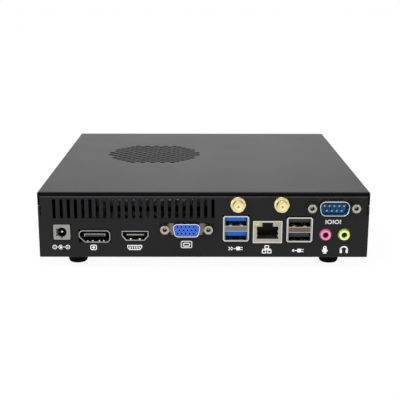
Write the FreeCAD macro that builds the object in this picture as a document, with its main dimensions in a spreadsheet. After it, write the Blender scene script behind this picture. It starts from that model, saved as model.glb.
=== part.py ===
import FreeCAD, Part
import math
import os
import Sketcher

# A thin industrial computer: a folded steel tray with end panels and a perforated lid, a board standing on
# pillars, a finned cooler under the round vent, and one row of connectors at the rear.
# X runs to the right seen from the connectors, Y from the connectors to the front, Z up.
# The origin is on the surface that the feet stand on, at the middle of the overall box.

DOC = FreeCAD.newDocument("thin_computer")
NODES = []

SIZES = {
    # case
    "case_width": (190.0, "outside width of the case"),
    "case_depth": (190.0, "outside depth of the case, rear panel to front panel"),
    "case_height": (39.0, "underside of the tray to the top of the cover"),
    "sheet_gauge": (1.0, "steel sheet of tray and cover"),
    "bend_radius": (0.8, "outside radius of the folds"),
    "side_seam": (0.6, "gap between the tray's side walls and the cover's side flanges"),
    "end_seam": (0.4, "gap between the end panels and the cover's lips"),
    "end_flange_depth": (7.0, "inward flange along the top of the end panels"),
    "cover_side_drop": (7.8, "depth of the cover's side flanges"),
    "cover_end_drop": (2.2, "depth of the cover's lips over the end panels"),
    "lid_clearance": (0.2, "side gap between the cover's flanges and the tray"),
    "relief_width": (0.7, "corner relief slit in the end panels"),
    "relief_length": (5.6, "length of the corner relief slit"),
    # cover screws and the tabs behind them
    "tab_spacing": (120.0, "distance between the two screw tabs of one side"),
    "tab_width": (14.0, "width of a screw tab"),
    "tab_lap": (6.0, "lap of the tab on the tray's side wall"),
    "tab_headroom": (0.6, "gap from the tab's top to the cover"),
    "cover_screw_drop": (3.8, "cover screws below the top of the case"),
    "cover_screw_shank": (2.9, "shank of the cover screws, drawn six-sided, across its flats"),
    "cover_screw_neck": (1.75, "radius of their flat head where it meets the shank"),
    "cover_screw_head_radius": (2.6, "flat head of the cover screws"),
    "cover_screw_length": (5.0, "length of the cover screws"),
    "thread_gap": (0.05, "gap between a screw and its hole"),
    # round vent
    "vent_radius": (31.0, "hole centres of the round vent lie inside this radius"),
    "vent_side_share": (-0.17579, "vent centre from the middle of the case, as a share of the case's width"),
    "vent_front_share": (0.07579, "vent centre towards the front of the case, as a share of the case's depth"),
    "vent_pitch_side": (6.6, "spacing of the holes across the case"),
    "vent_pitch_front": (6.9, "spacing of the holes along the case"),
    "vent_hole_across": (3.8, "width across the flats of a vent hole"),
    # rear slots
    "slot_count": (23, "number of rear slots"),
    "slot_pitch_side_share": (0.02179, "spacing of the rear slots, as a share of the case's width"),
    "slot_width": (1.9, "width of a rear slot"),
    "slot_length": (11.4, "height of a rear slot"),
    "slot_first_side_share": (0.04842, "first slot's centre from the left side of the case, as a share of the case's width"),
    "slot_drop": (10.0, "middle of the slots below the top of the case"),
    # feet
    "foot_height": (6.0, "height of a rubber foot"),
    "foot_radius": (5.7, "radius of a foot"),
    "foot_edge": (0.8, "bevel of the foot's lower edge"),
    "foot_side_inset": (20.5, "foot centre from the side of the case"),
    "foot_end_inset": (12.5, "foot centre from the end of the case"),
    # board
    "board_level": (8.9, "upper face of the board above the underside"),
    "board_gauge": (1.6, "thickness of the board"),
    "board_side_gap": (6.0, "board's side edges from the sides of the case"),
    "board_front_gap": (9.6, "board's front edge from the outside of the front panel"),
    "board_setback": (2.4, "board's rear edge from the outside of the rear panel"),
    "board_hole_inset": (6.0, "mounting holes from the board's sides and front edge"),
    "board_hole_rear": (22.0, "rear mounting holes from the board's rear edge, behind the connectors"),
    "pillar_across": (5.5, "hexagonal board pillars, across their flats"),
    "board_screw_shank": (2.8, "shank of the board screws, drawn six-sided, across its flats"),
    "board_screw_across": (5.0, "hexagonal head of the board screws, across its flats"),
    "board_screw_head": (1.8, "height of that head"),
    "board_screw_length": (6.0, "length of the board screws"),
    # processor and cooler
    "cpu_width": (37.5, "processor carrier"),
    "cpu_gauge": (1.1, "thickness of the carrier"),
    "die_width": (14.0, "processor die"),
    "die_depth": (11.0, "processor die"),
    "die_gauge": (0.9, "thickness of the die"),
    "cooler_width": (74.0, "cooler across the case"),
    "cooler_depth": (72.0, "cooler along the case"),
    "cooler_base": (4.0, "thickness of the cooler's base"),
    "cooler_headroom": (4.5, "gap from the fins to the underside of the cover"),
    "fin_count": (14, "number of fins"),
    "fin_gauge": (1.4, "thickness of a fin"),
    "cooler_corner": (9.0, "corner of the base left free of fins"),
    "cooler_screw_inset": (4.5, "cooler screws from the edges of the base"),
    "cooler_screw_shank": (2.6, "shank of the cooler screws, drawn six-sided, across its flats"),
    "cooler_screw_across": (5.0, "their hexagonal heads, across the flats"),
    "cooler_screw_head": (2.2, "height of their heads"),
    # memory
    "memory_side_share": (0.26316, "middle of the memory module, from the middle of the case, as a share of the case's width"),
    "memory_front_share": (0.67368, "front edge of the memory module, from the rear panel, as a share of the case's depth"),
    "memory_width": (67.6, "memory module"),
    "memory_depth": (30.0, "memory module"),
    "memory_gauge": (1.2, "memory module"),
    "memory_height": (2.6, "memory module above the board"),
    "memory_socket_height": (5.2, "height of the memory socket"),
    "memory_socket_bar": (6.5, "depth of the socket's bar"),
    "memory_arm": (3.6, "width of the socket's arms"),
    "memory_insert": (2.4, "module inside the bar"),
    "memory_chip_width": (12.0, "memory chip"),
    "memory_chip_depth": (9.0, "memory chip"),
    "memory_chip_gauge": (1.0, "memory chip"),
    "memory_chip_pitch": (15.6, "spacing of the memory chips"),
    "memory_chip_count": (4, "number of memory chips"),
    # plug-in cards
    "card_gauge": (0.8, "thickness of the plug-in cards"),
    "card_width": (22.0, "width of the plug-in cards"),
    "card_height": (2.5, "plug-in cards above the board"),
    "card_insert": (3.0, "card inside its socket"),
    "card_socket_depth": (8.7, "depth of a card socket"),
    "card_socket_height": (4.2, "height of a card socket"),
    "card_notch_radius": (1.8, "half-round notch of a card"),
    "card_chip_gauge": (1.1, "chips on the cards"),
    "post_across": (5.0, "hexagonal post under the free end of a card, across its flats"),
    "post_screw_across": (4.4, "hexagonal head of the post's screw, across its flats"),
    "post_screw_head": (1.0, "height of that head"),
    "post_screw_neck": (2.6, "neck of that screw, across its flats"),
    "drive_length": (80.0, "solid state drive"),
    "drive_end_gap": (5.0, "free end of the drive from the right side of the case"),
    "drive_front_share": (0.29474, "middle of the drive from the rear panel, as a share of the case's depth"),
    "radio_length": (30.0, "wireless card"),
    "radio_side_share": (0.15789, "socket end of the wireless card from the middle of the case, as a share of the case's width"),
    "radio_front_share": (0.83158, "middle of the wireless card from the rear panel, as a share of the case's depth"),
    # cell
    "cell_side_share": (-0.32632, "cell from the middle of the case, as a share of the case's width"),
    "cell_inset": (13.0, "cell from the board's front edge"),
    "cell_radius": (10.0, "coin cell"),
    "cell_gauge": (3.2, "coin cell"),
    "cell_holder_width": (24.0, "cell holder"),
    "cell_holder_height": (4.6, "cell holder"),
    "cell_holder_floor": (1.2, "floor of the cell holder"),
    "cell_gap": (0.2, "gap between the cell and its holder"),
    # power parts on the board
    "choke_width": (7.0, "choke"),
    "choke_height": (4.5, "choke"),
    "choke_pitch": (10.5, "spacing of the chokes"),
    "choke_side_share": (-0.37895, "first choke from the middle of the case, as a share of the case's width"),
    "choke_front_share": (0.24211, "row of chokes from the rear panel, as a share of the case's depth"),
    "choke_count": (6, "number of chokes"),
    "chip_cap_width": (4.3, "capacitor"),
    "chip_cap_depth": (7.3, "capacitor"),
    "chip_cap_height": (2.9, "capacitor"),
    "chip_cap_count": (5, "number of capacitors"),
    "chip_cap_pitch": (21.0, "spacing of the capacitors"),
    "chip_cap_side_share": (-0.34737, "first capacitor from the middle of the case, as a share of the case's width"),
    "chip_cap_front_share": (0.17895, "row of capacitors from the rear panel, as a share of the case's depth"),
    # front panel
    "button_side_share": (0.34737, "power button from the middle of the case, as a share of the case's width"),
    "button_level": (5.6, "power button above the board"),
    "button_radius": (4.0, "power button"),
    "button_gap": (0.25, "gap between the button and its hole"),
    "button_reach": (1.0, "button proud of the front panel"),
    "button_flange_width": (9.8, "square flange behind the panel"),
    "button_flange": (1.0, "thickness of that flange"),
    "button_seat": (0.1, "play between the flange and the panel"),
    "stem_width": (3.0, "square stem of the button"),
    "stem_gap": (0.2, "gap between the stem and the switch"),
    "switch_width": (9.0, "power switch"),
    "switch_height": (9.0, "power switch"),
    "switch_depth": (8.0, "power switch"),
    "switch_inset": (1.0, "switch from the board's front edge"),
    "stem_insert": (3.0, "stem inside the switch"),
    "stem_travel_room": (2.0, "free depth past the stem"),
    "pipe_side_share": (0.25263, "middle of the two light pipes, as a share of the case's width"),
    "pipe_pitch": (8.0, "spacing of the light pipes"),
    "pipe_width": (2.6, "square light pipe"),
    "pipe_gap": (0.1, "gap between a light pipe and its hole"),
    "pipe_block_width": (14.0, "block that joins the light pipes"),
    "pipe_block_depth": (6.0, "block that joins the light pipes"),
    "pipe_block_cap": (2.5, "block above the pipes' axis"),
    # rear connectors, common
    "port_gap": (0.4, "gap around a connector in the rear panel"),
    "shell_gauge": (0.45, "metal of the connector shells"),
    "backplate": (1.8, "plastic behind a connector shell"),
    "tongue_recess": (1.0, "tongues behind the mouth of a shell"),
    # power inlet
    "inlet_side_share": (-0.43053, "power inlet, as a share of the case's width"),
    "inlet_level": (15.1, "power inlet's axis above the underside"),
    "inlet_width": (9.9, "face of the power inlet"),
    "inlet_height": (9.3, "face of the power inlet"),
    "inlet_depth": (14.0, "depth of the power inlet"),
    "inlet_bore_radius": (3.0, "bore of the power inlet"),
    "inlet_bore_depth": (10.0, "depth of that bore"),
    "inlet_pin_radius": (1.0, "centre pin"),
    "inlet_pin_recess": (1.2, "centre pin behind the face"),
    # display connectors
    "display_side_share": (-0.33105, "first display connector, as a share of the case's width"),
    "display_level": (12.8, "its middle above the underside"),
    "display_width": (18.0, "its shell"),
    "display_height": (7.2, "its shell"),
    "display_depth": (13.0, "its shell"),
    "display_reach": (0.7, "shell proud of the rear panel"),
    "display_large_cut": (3.3, "large corner cut of its shell"),
    "display_small_cut": (1.4, "small corner cuts of its shell"),
    "display_tongue_width": (12.4, "its tongue"),
    "display_tongue": (1.7, "thickness of its tongue"),
    "display_tongue_rise": (0.5, "tongue above the middle of the shell"),
    "video_side_share": (-0.20789, "second display connector, as a share of the case's width"),
    "video_level": (13.2, "its middle above the underside"),
    "video_width": (15.4, "its shell"),
    "video_height": (5.8, "its shell"),
    "video_depth": (12.0, "its shell"),
    "video_reach": (0.5, "shell proud of the rear panel"),
    "video_shoulder": (2.7, "height of its slanted lower corners"),
    "video_taper": (2.3, "width of its slanted lower corners"),
    "video_tongue_width": (10.6, "its tongue"),
    "video_tongue": (1.1, "thickness of its tongue"),
    "video_tongue_rise": (0.3, "tongue above the middle of the shell"),
    # D-shaped connectors
    "dsub_flange_gauge": (0.8, "their flange"),
    "dsub_flange_width": (30.8, "their flange"),
    "dsub_wall": (0.5, "metal of their shells"),
    "dsub_round": (2.6, "corner radius of their shells"),
    "dsub_slant": (0.176, "slope of their sides, tangent of 10 degrees"),
    "dsub_screw_spacing": (24.99, "spacing of their jackscrews"),
    "dsub_shell_reach": (5.8, "shell in front of its flange"),
    "jack_across": (4.9, "jackscrew across its flats"),
    "jack_length": (5.2, "head of a jackscrew"),
    "jack_bore_radius": (1.25, "thread in a jackscrew"),
    "jack_bore_depth": (4.4, "depth of that thread"),
    "jack_shank_across": (2.5, "shank of a jackscrew, drawn six-sided, across its flats"),
    "jack_shank": (5.0, "length of that shank"),
    "jack_ear": (3.1, "panel opening around a jackscrew"),
    "monitor_side_share": (-0.05158, "analogue display connector, as a share of the case's width"),
    "monitor_level": (17.6, "its middle above the underside"),
    "monitor_width": (16.4, "its shell at the wide side"),
    "monitor_height": (8.2, "its shell"),
    "monitor_flange_height": (12.5, "its flange"),
    "monitor_body_depth": (9.0, "its body behind the flange"),
    "monitor_insert_recess": (0.6, "insert behind the mouth of the shell"),
    "monitor_hole_across": (0.95, "sockets of the insert, drawn six-sided"),
    "monitor_hole_depth": (4.0, "depth of the sockets"),
    "monitor_hole_pitch": (2.29, "spacing of the sockets"),
    "monitor_row_pitch": (1.98, "spacing of the rows"),
    "serial_side_share": (0.39, "serial connector, as a share of the case's width"),
    "serial_drop": (8.4, "its middle below the top of the case"),
    "serial_width": (17.2, "its shell at the wide side"),
    "serial_height": (8.6, "its shell"),
    "serial_flange_height": (9.4, "its flange, trimmed to clear the folded edge"),
    "serial_body_width": (19.0, "its body behind the flange"),
    "serial_body_depth": (5.0, "its body behind the flange"),
    "serial_floor": (1.2, "insert in front of the flange"),
    "serial_pin_across": (0.95, "pins, drawn six-sided"),
    "serial_pin_length": (3.6, "pins in front of the insert"),
    "serial_pin_pitch": (2.77, "spacing of the pins"),
    "serial_row_pitch": (2.84, "spacing of the rows of pins"),
    # stacked sockets
    "stack_depth": (17.0, "shells of the stacked sockets"),
    "stack_reach": (0.6, "shells proud of the rear panel"),
    "stack_cut": (0.9, "corner cut of the shells"),
    "stack_strip": (3.4, "metal strip between the two mouths"),
    "stack_tongue_width": (11.4, "tongues"),
    "stack_tongue": (2.2, "thickness of the tongues"),
    "stack_tongue_drop": (0.5, "tongue below the top of its mouth"),
    "stack_contact_width": (1.1, "contacts under the tongues"),
    "stack_contact_gauge": (0.25, "contacts under the tongues"),
    "stack_contact_length": (8.0, "contacts under the tongues"),
    "stack_contact_pitch": (2.4, "spacing of the contacts"),
    "stack_contact_count": (4, "contacts under each tongue"),
    "fast_side_share": (0.09789, "fast stacked sockets, as a share of the case's width"),
    "fast_level": (17.5, "their middle above the underside"),
    "fast_width": (14.9, "their shell"),
    "fast_height": (15.2, "their shell"),
    "plain_side_share": (0.29053, "plain stacked sockets, as a share of the case's width"),
    "plain_level": (16.9, "their middle above the underside"),
    "plain_width": (14.9, "their shell"),
    "plain_height": (14.8, "their shell"),
    # network socket
    "lan_side_share": (0.19368, "network socket, as a share of the case's width"),
    "lan_width": (16.8, "its shield"),
    "lan_height": (13.2, "its shield"),
    "lan_depth": (19.0, "its shield"),
    "lan_reach": (0.5, "shield proud of the rear panel"),
    "lan_wall": (0.6, "metal of its shield"),
    "lan_mouth_width": (12.4, "mouth for the plug"),
    "lan_mouth_height": (7.4, "mouth for the plug"),
    "lan_mouth_level": (2.5, "floor of the mouth above the board"),
    "lan_mouth_depth": (12.0, "depth of the mouth"),
    "lan_latch_width": (6.2, "latch notch above the mouth"),
    "lan_latch_height": (2.3, "latch notch above the mouth"),
    "lan_face": (0.6, "metal face of the shield"),
    "lan_light_recess": (0.1, "indicator windows behind the face"),
    "lan_light_width": (3.2, "indicator windows"),
    "lan_light_height": (2.4, "indicator windows"),
    "lan_light_depth": (6.0, "indicator windows"),
    "lan_contact_width": (0.5, "spring contacts"),
    "lan_contact_gauge": (0.3, "spring contacts"),
    "lan_contact_pitch": (1.2, "spacing of the spring contacts"),
    "lan_contact_count": (8, "number of spring contacts"),
    "lan_contact_rise": (1.6, "rise of the spring contacts"),
    "lan_contact_length": (7.0, "length of the spring contacts"),
    # sound sockets
    "mic_side_share": (0.37, "microphone socket, as a share of the case's width"),
    "headphone_side_share": (0.42658, "headphone socket, as a share of the case's width"),
    "sound_level": (13.9, "sound sockets above the underside"),
    "sound_collar_radius": (3.45, "collar in the rear panel"),
    "sound_reach": (2.0, "collar proud of the rear panel"),
    "sound_bore_radius": (1.8, "bore for the plug"),
    "sound_bore_depth": (12.0, "depth of that bore"),
    "sound_width": (9.6, "body of the socket"),
    "sound_depth": (13.0, "body of the socket"),
    "sound_headroom": (4.4, "body above the socket's axis"),
    # antenna sockets
    "aerial_left_side_share": (0.10316, "first antenna socket, as a share of the case's width"),
    "aerial_right_side_share": (0.23421, "second antenna socket, as a share of the case's width"),
    "aerial_drop": (7.2, "antenna sockets below the top of the case"),
    "aerial_reach": (6.3, "barrel proud of the rear panel"),
    "aerial_radius": (3.175, "barrel"),
    "aerial_gap": (0.1, "gap between the barrel and its hole"),
    "aerial_neck_radius": (2.9, "barrel inside the panel and the nut"),
    "aerial_neck_reach": (0.3, "neck in front of the nut"),
    "aerial_bore_radius": (2.3, "mouth of the barrel"),
    "aerial_bore_depth": (5.0, "mouth of the barrel"),
    "aerial_flange_across": (6.8, "hexagon behind the panel, across its flats"),
    "aerial_flange": (2.0, "thickness of that hexagon"),
    "aerial_tail_across": (3.6, "hexagonal cable end, across its flats"),
    "aerial_tail": (4.0, "cable end"),
    "aerial_nut_across": (8.0, "nut across its flats"),
    "aerial_nut": (2.4, "height of the nut"),
    "aerial_insulator_recess": (0.4, "insulator behind the mouth"),
    "aerial_socket_across": (1.2, "hole of the centre contact, drawn six-sided"),
    "aerial_socket_depth": (3.0, "hole of the centre contact"),
}


class Size:
    """A length kept as a formula on the sheet, with the number that the formula gives."""

    def __init__(self, formula, number):
        self.formula = formula
        self.number = number

    @staticmethod
    def of(value):
        return value if isinstance(value, Size) else Size(f"({float(value)!r})", float(value))

    def __add__(self, other):
        other = Size.of(other)
        return Size(f"({self.formula} + {other.formula})", self.number + other.number)

    def __sub__(self, other):
        other = Size.of(other)
        return Size(f"({self.formula} - {other.formula})", self.number - other.number)

    def __mul__(self, other):
        other = Size.of(other)
        return Size(f"({self.formula} * {other.formula})", self.number * other.number)

    def __truediv__(self, other):
        other = Size.of(other)
        return Size(f"({self.formula} / {other.formula})", self.number / other.number)

    def __radd__(self, other):
        return Size.of(other) + self

    def __rsub__(self, other):
        return Size.of(other) - self

    def __rmul__(self, other):
        return Size.of(other) * self

    def __neg__(self):
        return Size(f"(-1.0 * {self.formula})", -self.number)


class Sheet:
    """The spreadsheet of driving sizes; each alias reads as a Size."""

    def __init__(self, table):
        cells = DOC.addObject("Spreadsheet::Sheet", "Sizes")
        for row, (alias, (number, note)) in enumerate(table.items(), start=1):
            cells.set(f"A{row}", note)
            cells.set(f"B{row}", str(number))
            cells.setAlias(f"B{row}", alias)
            setattr(self, alias, Size(f"Sizes.{alias}", float(number)))
        DOC.recompute()


S = Sheet(SIZES)

# A share of the case's width or depth gives a place that moves in step with the case.
for alias in SIZES:
    for ending, whole in (("_side_share", S.case_width), ("_front_share", S.case_depth)):
        if alias.endswith(ending):
            setattr(S, alias.removesuffix("_share"), getattr(S, alias) * whole)

PLANE_ROLE = {"X": "YZ_Plane", "Y": "XZ_Plane", "Z": "XY_Plane"}
DIRECTION = {
    "+X": FreeCAD.Rotation(FreeCAD.Vector(0, 1, 0), 90),
    "-X": FreeCAD.Rotation(FreeCAD.Vector(0, 1, 0), -90),
    "+Y": FreeCAD.Rotation(FreeCAD.Vector(1, 0, 0), -90),
    "-Y": FreeCAD.Rotation(FreeCAD.Vector(1, 0, 0), 90),
    "+Z": FreeCAD.Rotation(),
}


class Round:
    """A circle of a sketch: its centre and radius."""

    def __init__(self, across, along, radius):
        self.across = Size.of(across)
        self.along = Size.of(along)
        self.radius = Size.of(radius)


def rectangle(left, right, low, high):
    """Corners of a rectangle, counter-clockwise."""
    return [(left, low), (right, low), (right, high), (left, high)]


def centred(width, height, across=0, along=0):
    """A rectangle about a centre."""
    return rectangle(across - width / 2, across + width / 2, along - height / 2, along + height / 2)


def hexagon(across_flats, across=0, along=0):
    """A regular hexagon with two corners on the sketch's first axis."""
    side = across_flats / math.sqrt(3)
    flat = across_flats / 2
    half = side / 2
    corners = [(side, 0), (half, flat), (-half, flat), (-side, 0), (-half, -flat), (half, -flat)]
    return [(across + u, along + v) for u, v in corners]


def place(thing, across, deep, up, direction="+Z"):
    """Stand a piece at a place; its own Z axis points in the named direction."""
    spot = [Size.of(value) for value in (across, deep, up)]
    base = FreeCAD.Vector(*[size.number for size in spot])
    thing.Placement = FreeCAD.Placement(base, DIRECTION[direction])
    for axis, size in zip("xyz", spot):
        thing.setExpression(f"Placement.Base.{axis}", size.formula)


class Piece:
    """One PartDesign body, built from sketches on planes square to its own axes."""

    def __init__(self, name, across=0, deep=0, up=0, direction="+Z"):
        self.body = DOC.addObject("PartDesign::Body", name)
        self.body.Label = name
        place(self.body, across, deep, up, direction)

    def plane(self, axis):
        for feature in self.body.Origin.OriginFeatures:
            if feature.Role == PLANE_ROLE[axis]:
                return feature
        raise RuntimeError(f"{self.body.Label} has no plane square to {axis}")

    def sketch(self, axis, level, loops):
        """Draw closed loops on the plane square to the axis, at the given level along it."""
        drawing = self.body.newObject("Sketcher::SketchObject", f"{self.body.Name}_sketch")
        drawing.AttachmentSupport = [(self.plane(axis), "")]
        drawing.MapMode = "FlatFace"
        along_normal = -Size.of(level) if axis == "Y" else Size.of(level)
        drawing.AttachmentOffset = FreeCAD.Placement(
            FreeCAD.Vector(0, 0, along_normal.number), FreeCAD.Rotation()
        )
        drawing.setExpression("AttachmentOffset.Base.z", along_normal.formula)
        for loop in loops:
            if isinstance(loop, Round):
                self.draw_circle(drawing, loop)
            else:
                self.draw_corners(drawing, loop)
        return drawing

    @staticmethod
    def pin_point(drawing, line, point, across, along):
        """Tie a point of the sketch to its two distances from the sketch's origin."""
        for kind, size in (("DistanceX", across), ("DistanceY", along)):
            rule = Sketcher.Constraint(kind, -1, 1, line, point, size.number)
            index = drawing.addConstraint(rule)
            drawing.setExpression(f"Constraints[{index}]", size.formula)

    def draw_circle(self, drawing, loop):
        centre = FreeCAD.Vector(loop.across.number, loop.along.number, 0)
        line = drawing.addGeometry(Part.Circle(centre, FreeCAD.Vector(0, 0, 1), loop.radius.number))
        self.pin_point(drawing, line, 3, loop.across, loop.along)
        index = drawing.addConstraint(Sketcher.Constraint("Radius", line, loop.radius.number))
        drawing.setExpression(f"Constraints[{index}]", loop.radius.formula)

    def draw_corners(self, drawing, corners):
        corners = [(Size.of(u), Size.of(v)) for u, v in corners]
        points = [FreeCAD.Vector(u.number, v.number, 0) for u, v in corners]
        first = drawing.GeometryCount
        count = len(corners)
        for place_in_loop in range(count):
            start = points[place_in_loop]
            end = points[(place_in_loop + 1) % count]
            drawing.addGeometry(Part.LineSegment(start, end))
        for place_in_loop, (across, along) in enumerate(corners):
            before = first + (place_in_loop - 1) % count
            line = first + place_in_loop
            drawing.addConstraint(Sketcher.Constraint("Coincident", before, 2, line, 1))
            self.pin_point(drawing, line, 1, across, along)

    def pad(self, axis, low, high, *loops):
        """Add the loops as a prism from low to high along the axis."""
        level = high if axis == "Y" else low
        feature = self.body.newObject("PartDesign::Pad", f"{self.body.Name}_pad")
        feature.Profile = self.sketch(axis, level, loops)
        feature.setExpression("Length", (Size.of(high) - low).formula)
        self.body.Tip = feature
        DOC.recompute()
        return feature

    def pocket(self, axis, low, high, *loops):
        """Remove the loops as a prism from low to high along the axis."""
        level = low if axis == "Y" else high
        before = self.body.Shape.Volume
        feature = self.body.newObject("PartDesign::Pocket", f"{self.body.Name}_pocket")
        feature.Profile = self.sketch(axis, level, loops)
        feature.setExpression("Length", (Size.of(high) - low).formula)
        self.body.Tip = feature
        DOC.recompute()
        if not self.body.Shape.Volume < before:
            raise RuntimeError(f"a pocket of {self.body.Label} cuts nothing")
        return feature

    def turn(self, *corners):
        """Turn a half profile of (radius, height) corners about the piece's own Z axis."""
        feature = self.body.newObject("PartDesign::Revolution", f"{self.body.Name}_turned")
        feature.Profile = self.sketch("Y", 0, [list(corners)])
        feature.ReferenceAxis = (feature.Profile[0], ["V_Axis"])
        feature.Angle = 360
        self.body.Tip = feature
        DOC.recompute()
        return feature

    def repeat(self, features, direction, pitch, count):
        """Repeat features in a row along H_Axis or V_Axis of the first feature's sketch."""
        row = self.body.newObject("PartDesign::LinearPattern", f"{self.body.Name}_row")
        row.Originals = features
        row.Direction = (features[0].Profile[0], [direction])
        row.Mode = "Spacing"
        row.setExpression("Offset", Size.of(pitch).formula)
        row.setExpression("Occurrences", Size.of(count).formula)
        self.body.Tip = row
        DOC.recompute()
        return row

    def dress(self, kind, size, chosen):
        """Round or chamfer the edges that the test chooses."""
        tip = self.body.Tip
        names = [f"Edge{i}" for i, edge in enumerate(tip.Shape.Edges, start=1) if chosen(edge)]
        if not names:
            raise RuntimeError(f"{self.body.Label} has no edge to dress")
        feature = self.body.newObject(f"PartDesign::{kind}", f"{self.body.Name}_{kind}")
        feature.Base = (tip, names)
        feature.setExpression("Radius" if kind == "Fillet" else "Size", Size.of(size).formula)
        self.body.Tip = feature
        DOC.recompute()

    def done(self):
        NODES.append(self.body)
        return self.body


def runs_along(edge, axis):
    """Whether a straight edge is parallel to the axis."""
    box = edge.BoundBox
    lengths = {"X": box.XLength, "Y": box.YLength, "Z": box.ZLength}
    others = [length for name, length in lengths.items() if name != axis]
    return lengths[axis] > max(others) and max(others) < 1e-6


def edges_at(axis, height, size):
    """A test for edges that lie at one height along an axis."""
    def chosen(edge):
        box = edge.BoundBox
        low, high = {"X": (box.XMin, box.XMax), "Y": (box.YMin, box.YMax), "Z": (box.ZMin, box.ZMax)}[axis]
        return abs(low - size.number) < 1e-6 and abs(high - size.number) < 1e-6
    return chosen


def group(name, things):
    """Several separate solids kept as one node."""
    compound = DOC.addObject("Part::Compound", name)
    compound.Label = name
    compound.Links = things
    DOC.recompute()
    NODES.append(compound)
    return compound


# ---------------------------------------------------------------- places shared by the pieces

MIDDLE = (S.aerial_reach - S.button_reach) / 2
REAR = MIDDLE - S.case_depth / 2
FRONT = MIDDLE + S.case_depth / 2
UNDERSIDE = S.foot_height
DECK = UNDERSIDE + S.board_level
HALF_WIDTH = S.case_width / 2
HALF_DEPTH = S.case_depth / 2
INNER_WIDTH = HALF_WIDTH - S.sheet_gauge
INNER_DEPTH = HALF_DEPTH - S.sheet_gauge
BOARD_FRONT = S.case_depth - S.board_front_gap
BOARD_WIDTH = S.case_width - 2 * S.board_side_gap
TRAY_SIDE = S.case_height - S.cover_side_drop - S.side_seam
TRAY_END = S.case_height - S.cover_end_drop - S.end_seam
PANEL_HALF = INNER_WIDTH - S.lid_clearance
SLOT_LEVEL = S.case_height - S.slot_drop
SERIAL_LEVEL = S.case_height - S.serial_drop
AERIAL_LEVEL = S.case_height - S.aerial_drop
DRIVE_SIDE = HALF_WIDTH - S.drive_end_gap - S.drive_length


def corners_of(width, depth):
    """Left and right, rear and front corners of a rectangle about the middle of the case."""
    return [(sx * width / 2, sy * depth / 2) for sx in (-1, 1) for sy in (-1, 1)]


def board_corners():
    """Mounting holes of the board: across from the middle, along from the rear panel."""
    across = BOARD_WIDTH / 2 - S.board_hole_inset
    near = S.board_setback + S.board_hole_rear
    far = BOARD_FRONT - S.board_hole_inset
    return [(side * across, along) for side in (-1, 1) for along in (near, far)]


def cooler_corners():
    """Cooler screws about the middle of the cooler."""
    inset = 2 * S.cooler_screw_inset
    return corners_of(S.cooler_width - inset, S.cooler_depth - inset)


# ---------------------------------------------------------------- outlines of the connectors


def cut_outline(width, height, level, cuts, inset=0):
    """A rectangle with its corners cut at 45 degrees, drawn in by an inset.

    The cuts run low right, high right, high left, low left.
    """
    across = width / 2 - inset
    half = height / 2 - inset
    low_right, high_right, high_left, low_left = [cut - (2 - math.sqrt(2)) * inset for cut in cuts]
    return [
        (low_left - across, level - half),
        (across - low_right, level - half),
        (across, level - half + low_right),
        (across, level + half - high_right),
        (across - high_right, level + half),
        (high_left - across, level + half),
        (-across, level + half - high_left),
        (-across, level - half + low_left),
    ]


def display_outline(inset=0):
    """Mouth of the first display connector: three small corner cuts and a large one."""
    cuts = (S.display_small_cut, S.display_small_cut, S.display_small_cut, S.display_large_cut)
    return cut_outline(S.display_width, S.display_height, S.display_level, cuts, inset)


def video_outline(inset=0):
    """Mouth of the second display connector: straight above, drawn in below."""
    across = S.video_width / 2 - inset
    low = S.video_level - S.video_height / 2 + inset
    high = S.video_level + S.video_height / 2 - inset
    shoulder = low + S.video_shoulder - inset / 2
    narrow = across - S.video_taper
    return [(-narrow, low), (narrow, low), (across, shoulder), (across, high), (-across, high), (-across, shoulder)]


def stacked_outline(width, height, level):
    """Shell of a pair of stacked sockets."""
    return cut_outline(width, height, level, (S.stack_cut,) * 4)


def dsub_outline(width, height, level, inset=0):
    """D-shaped outline, wide side up, drawn in by an inset."""
    half = height / 2 - inset
    middle = width / 2 - height / 2 * S.dsub_slant - inset
    narrow = middle - half * S.dsub_slant
    wide = middle + half * S.dsub_slant
    return [(-narrow, level - half), (narrow, level - half), (wide, level + half), (-wide, level + half)]


def dsub_opening(width, height, level):
    """Panel opening with an ear around each jackscrew, so that the flange shows."""
    across = width / 2 + 2 * S.port_gap
    half = height / 2 + 2 * S.port_gap
    reach = S.dsub_screw_spacing / 2 + S.jack_ear
    ear = S.jack_ear
    return [
        (-reach, level - ear), (-across, level - ear), (-across, level - half), (across, level - half),
        (across, level - ear), (reach, level - ear), (reach, level + ear), (across, level + ear),
        (across, level + half), (-across, level + half), (-across, level + ear), (-reach, level + ear),
    ]


def shank_hole(hand, level):
    """Hole for the shank of the left or right jackscrew of a connector."""
    return hexagon(S.jack_shank_across + 2 * S.thread_gap, hand * S.dsub_screw_spacing / 2, level)


def shifted(loop, side):
    """A loop moved from a connector's own middle to its place across the panel."""
    if isinstance(loop, Round):
        return Round(loop.across + side, loop.along, loop.radius)
    return [(across + side, along) for across, along in loop]


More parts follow.
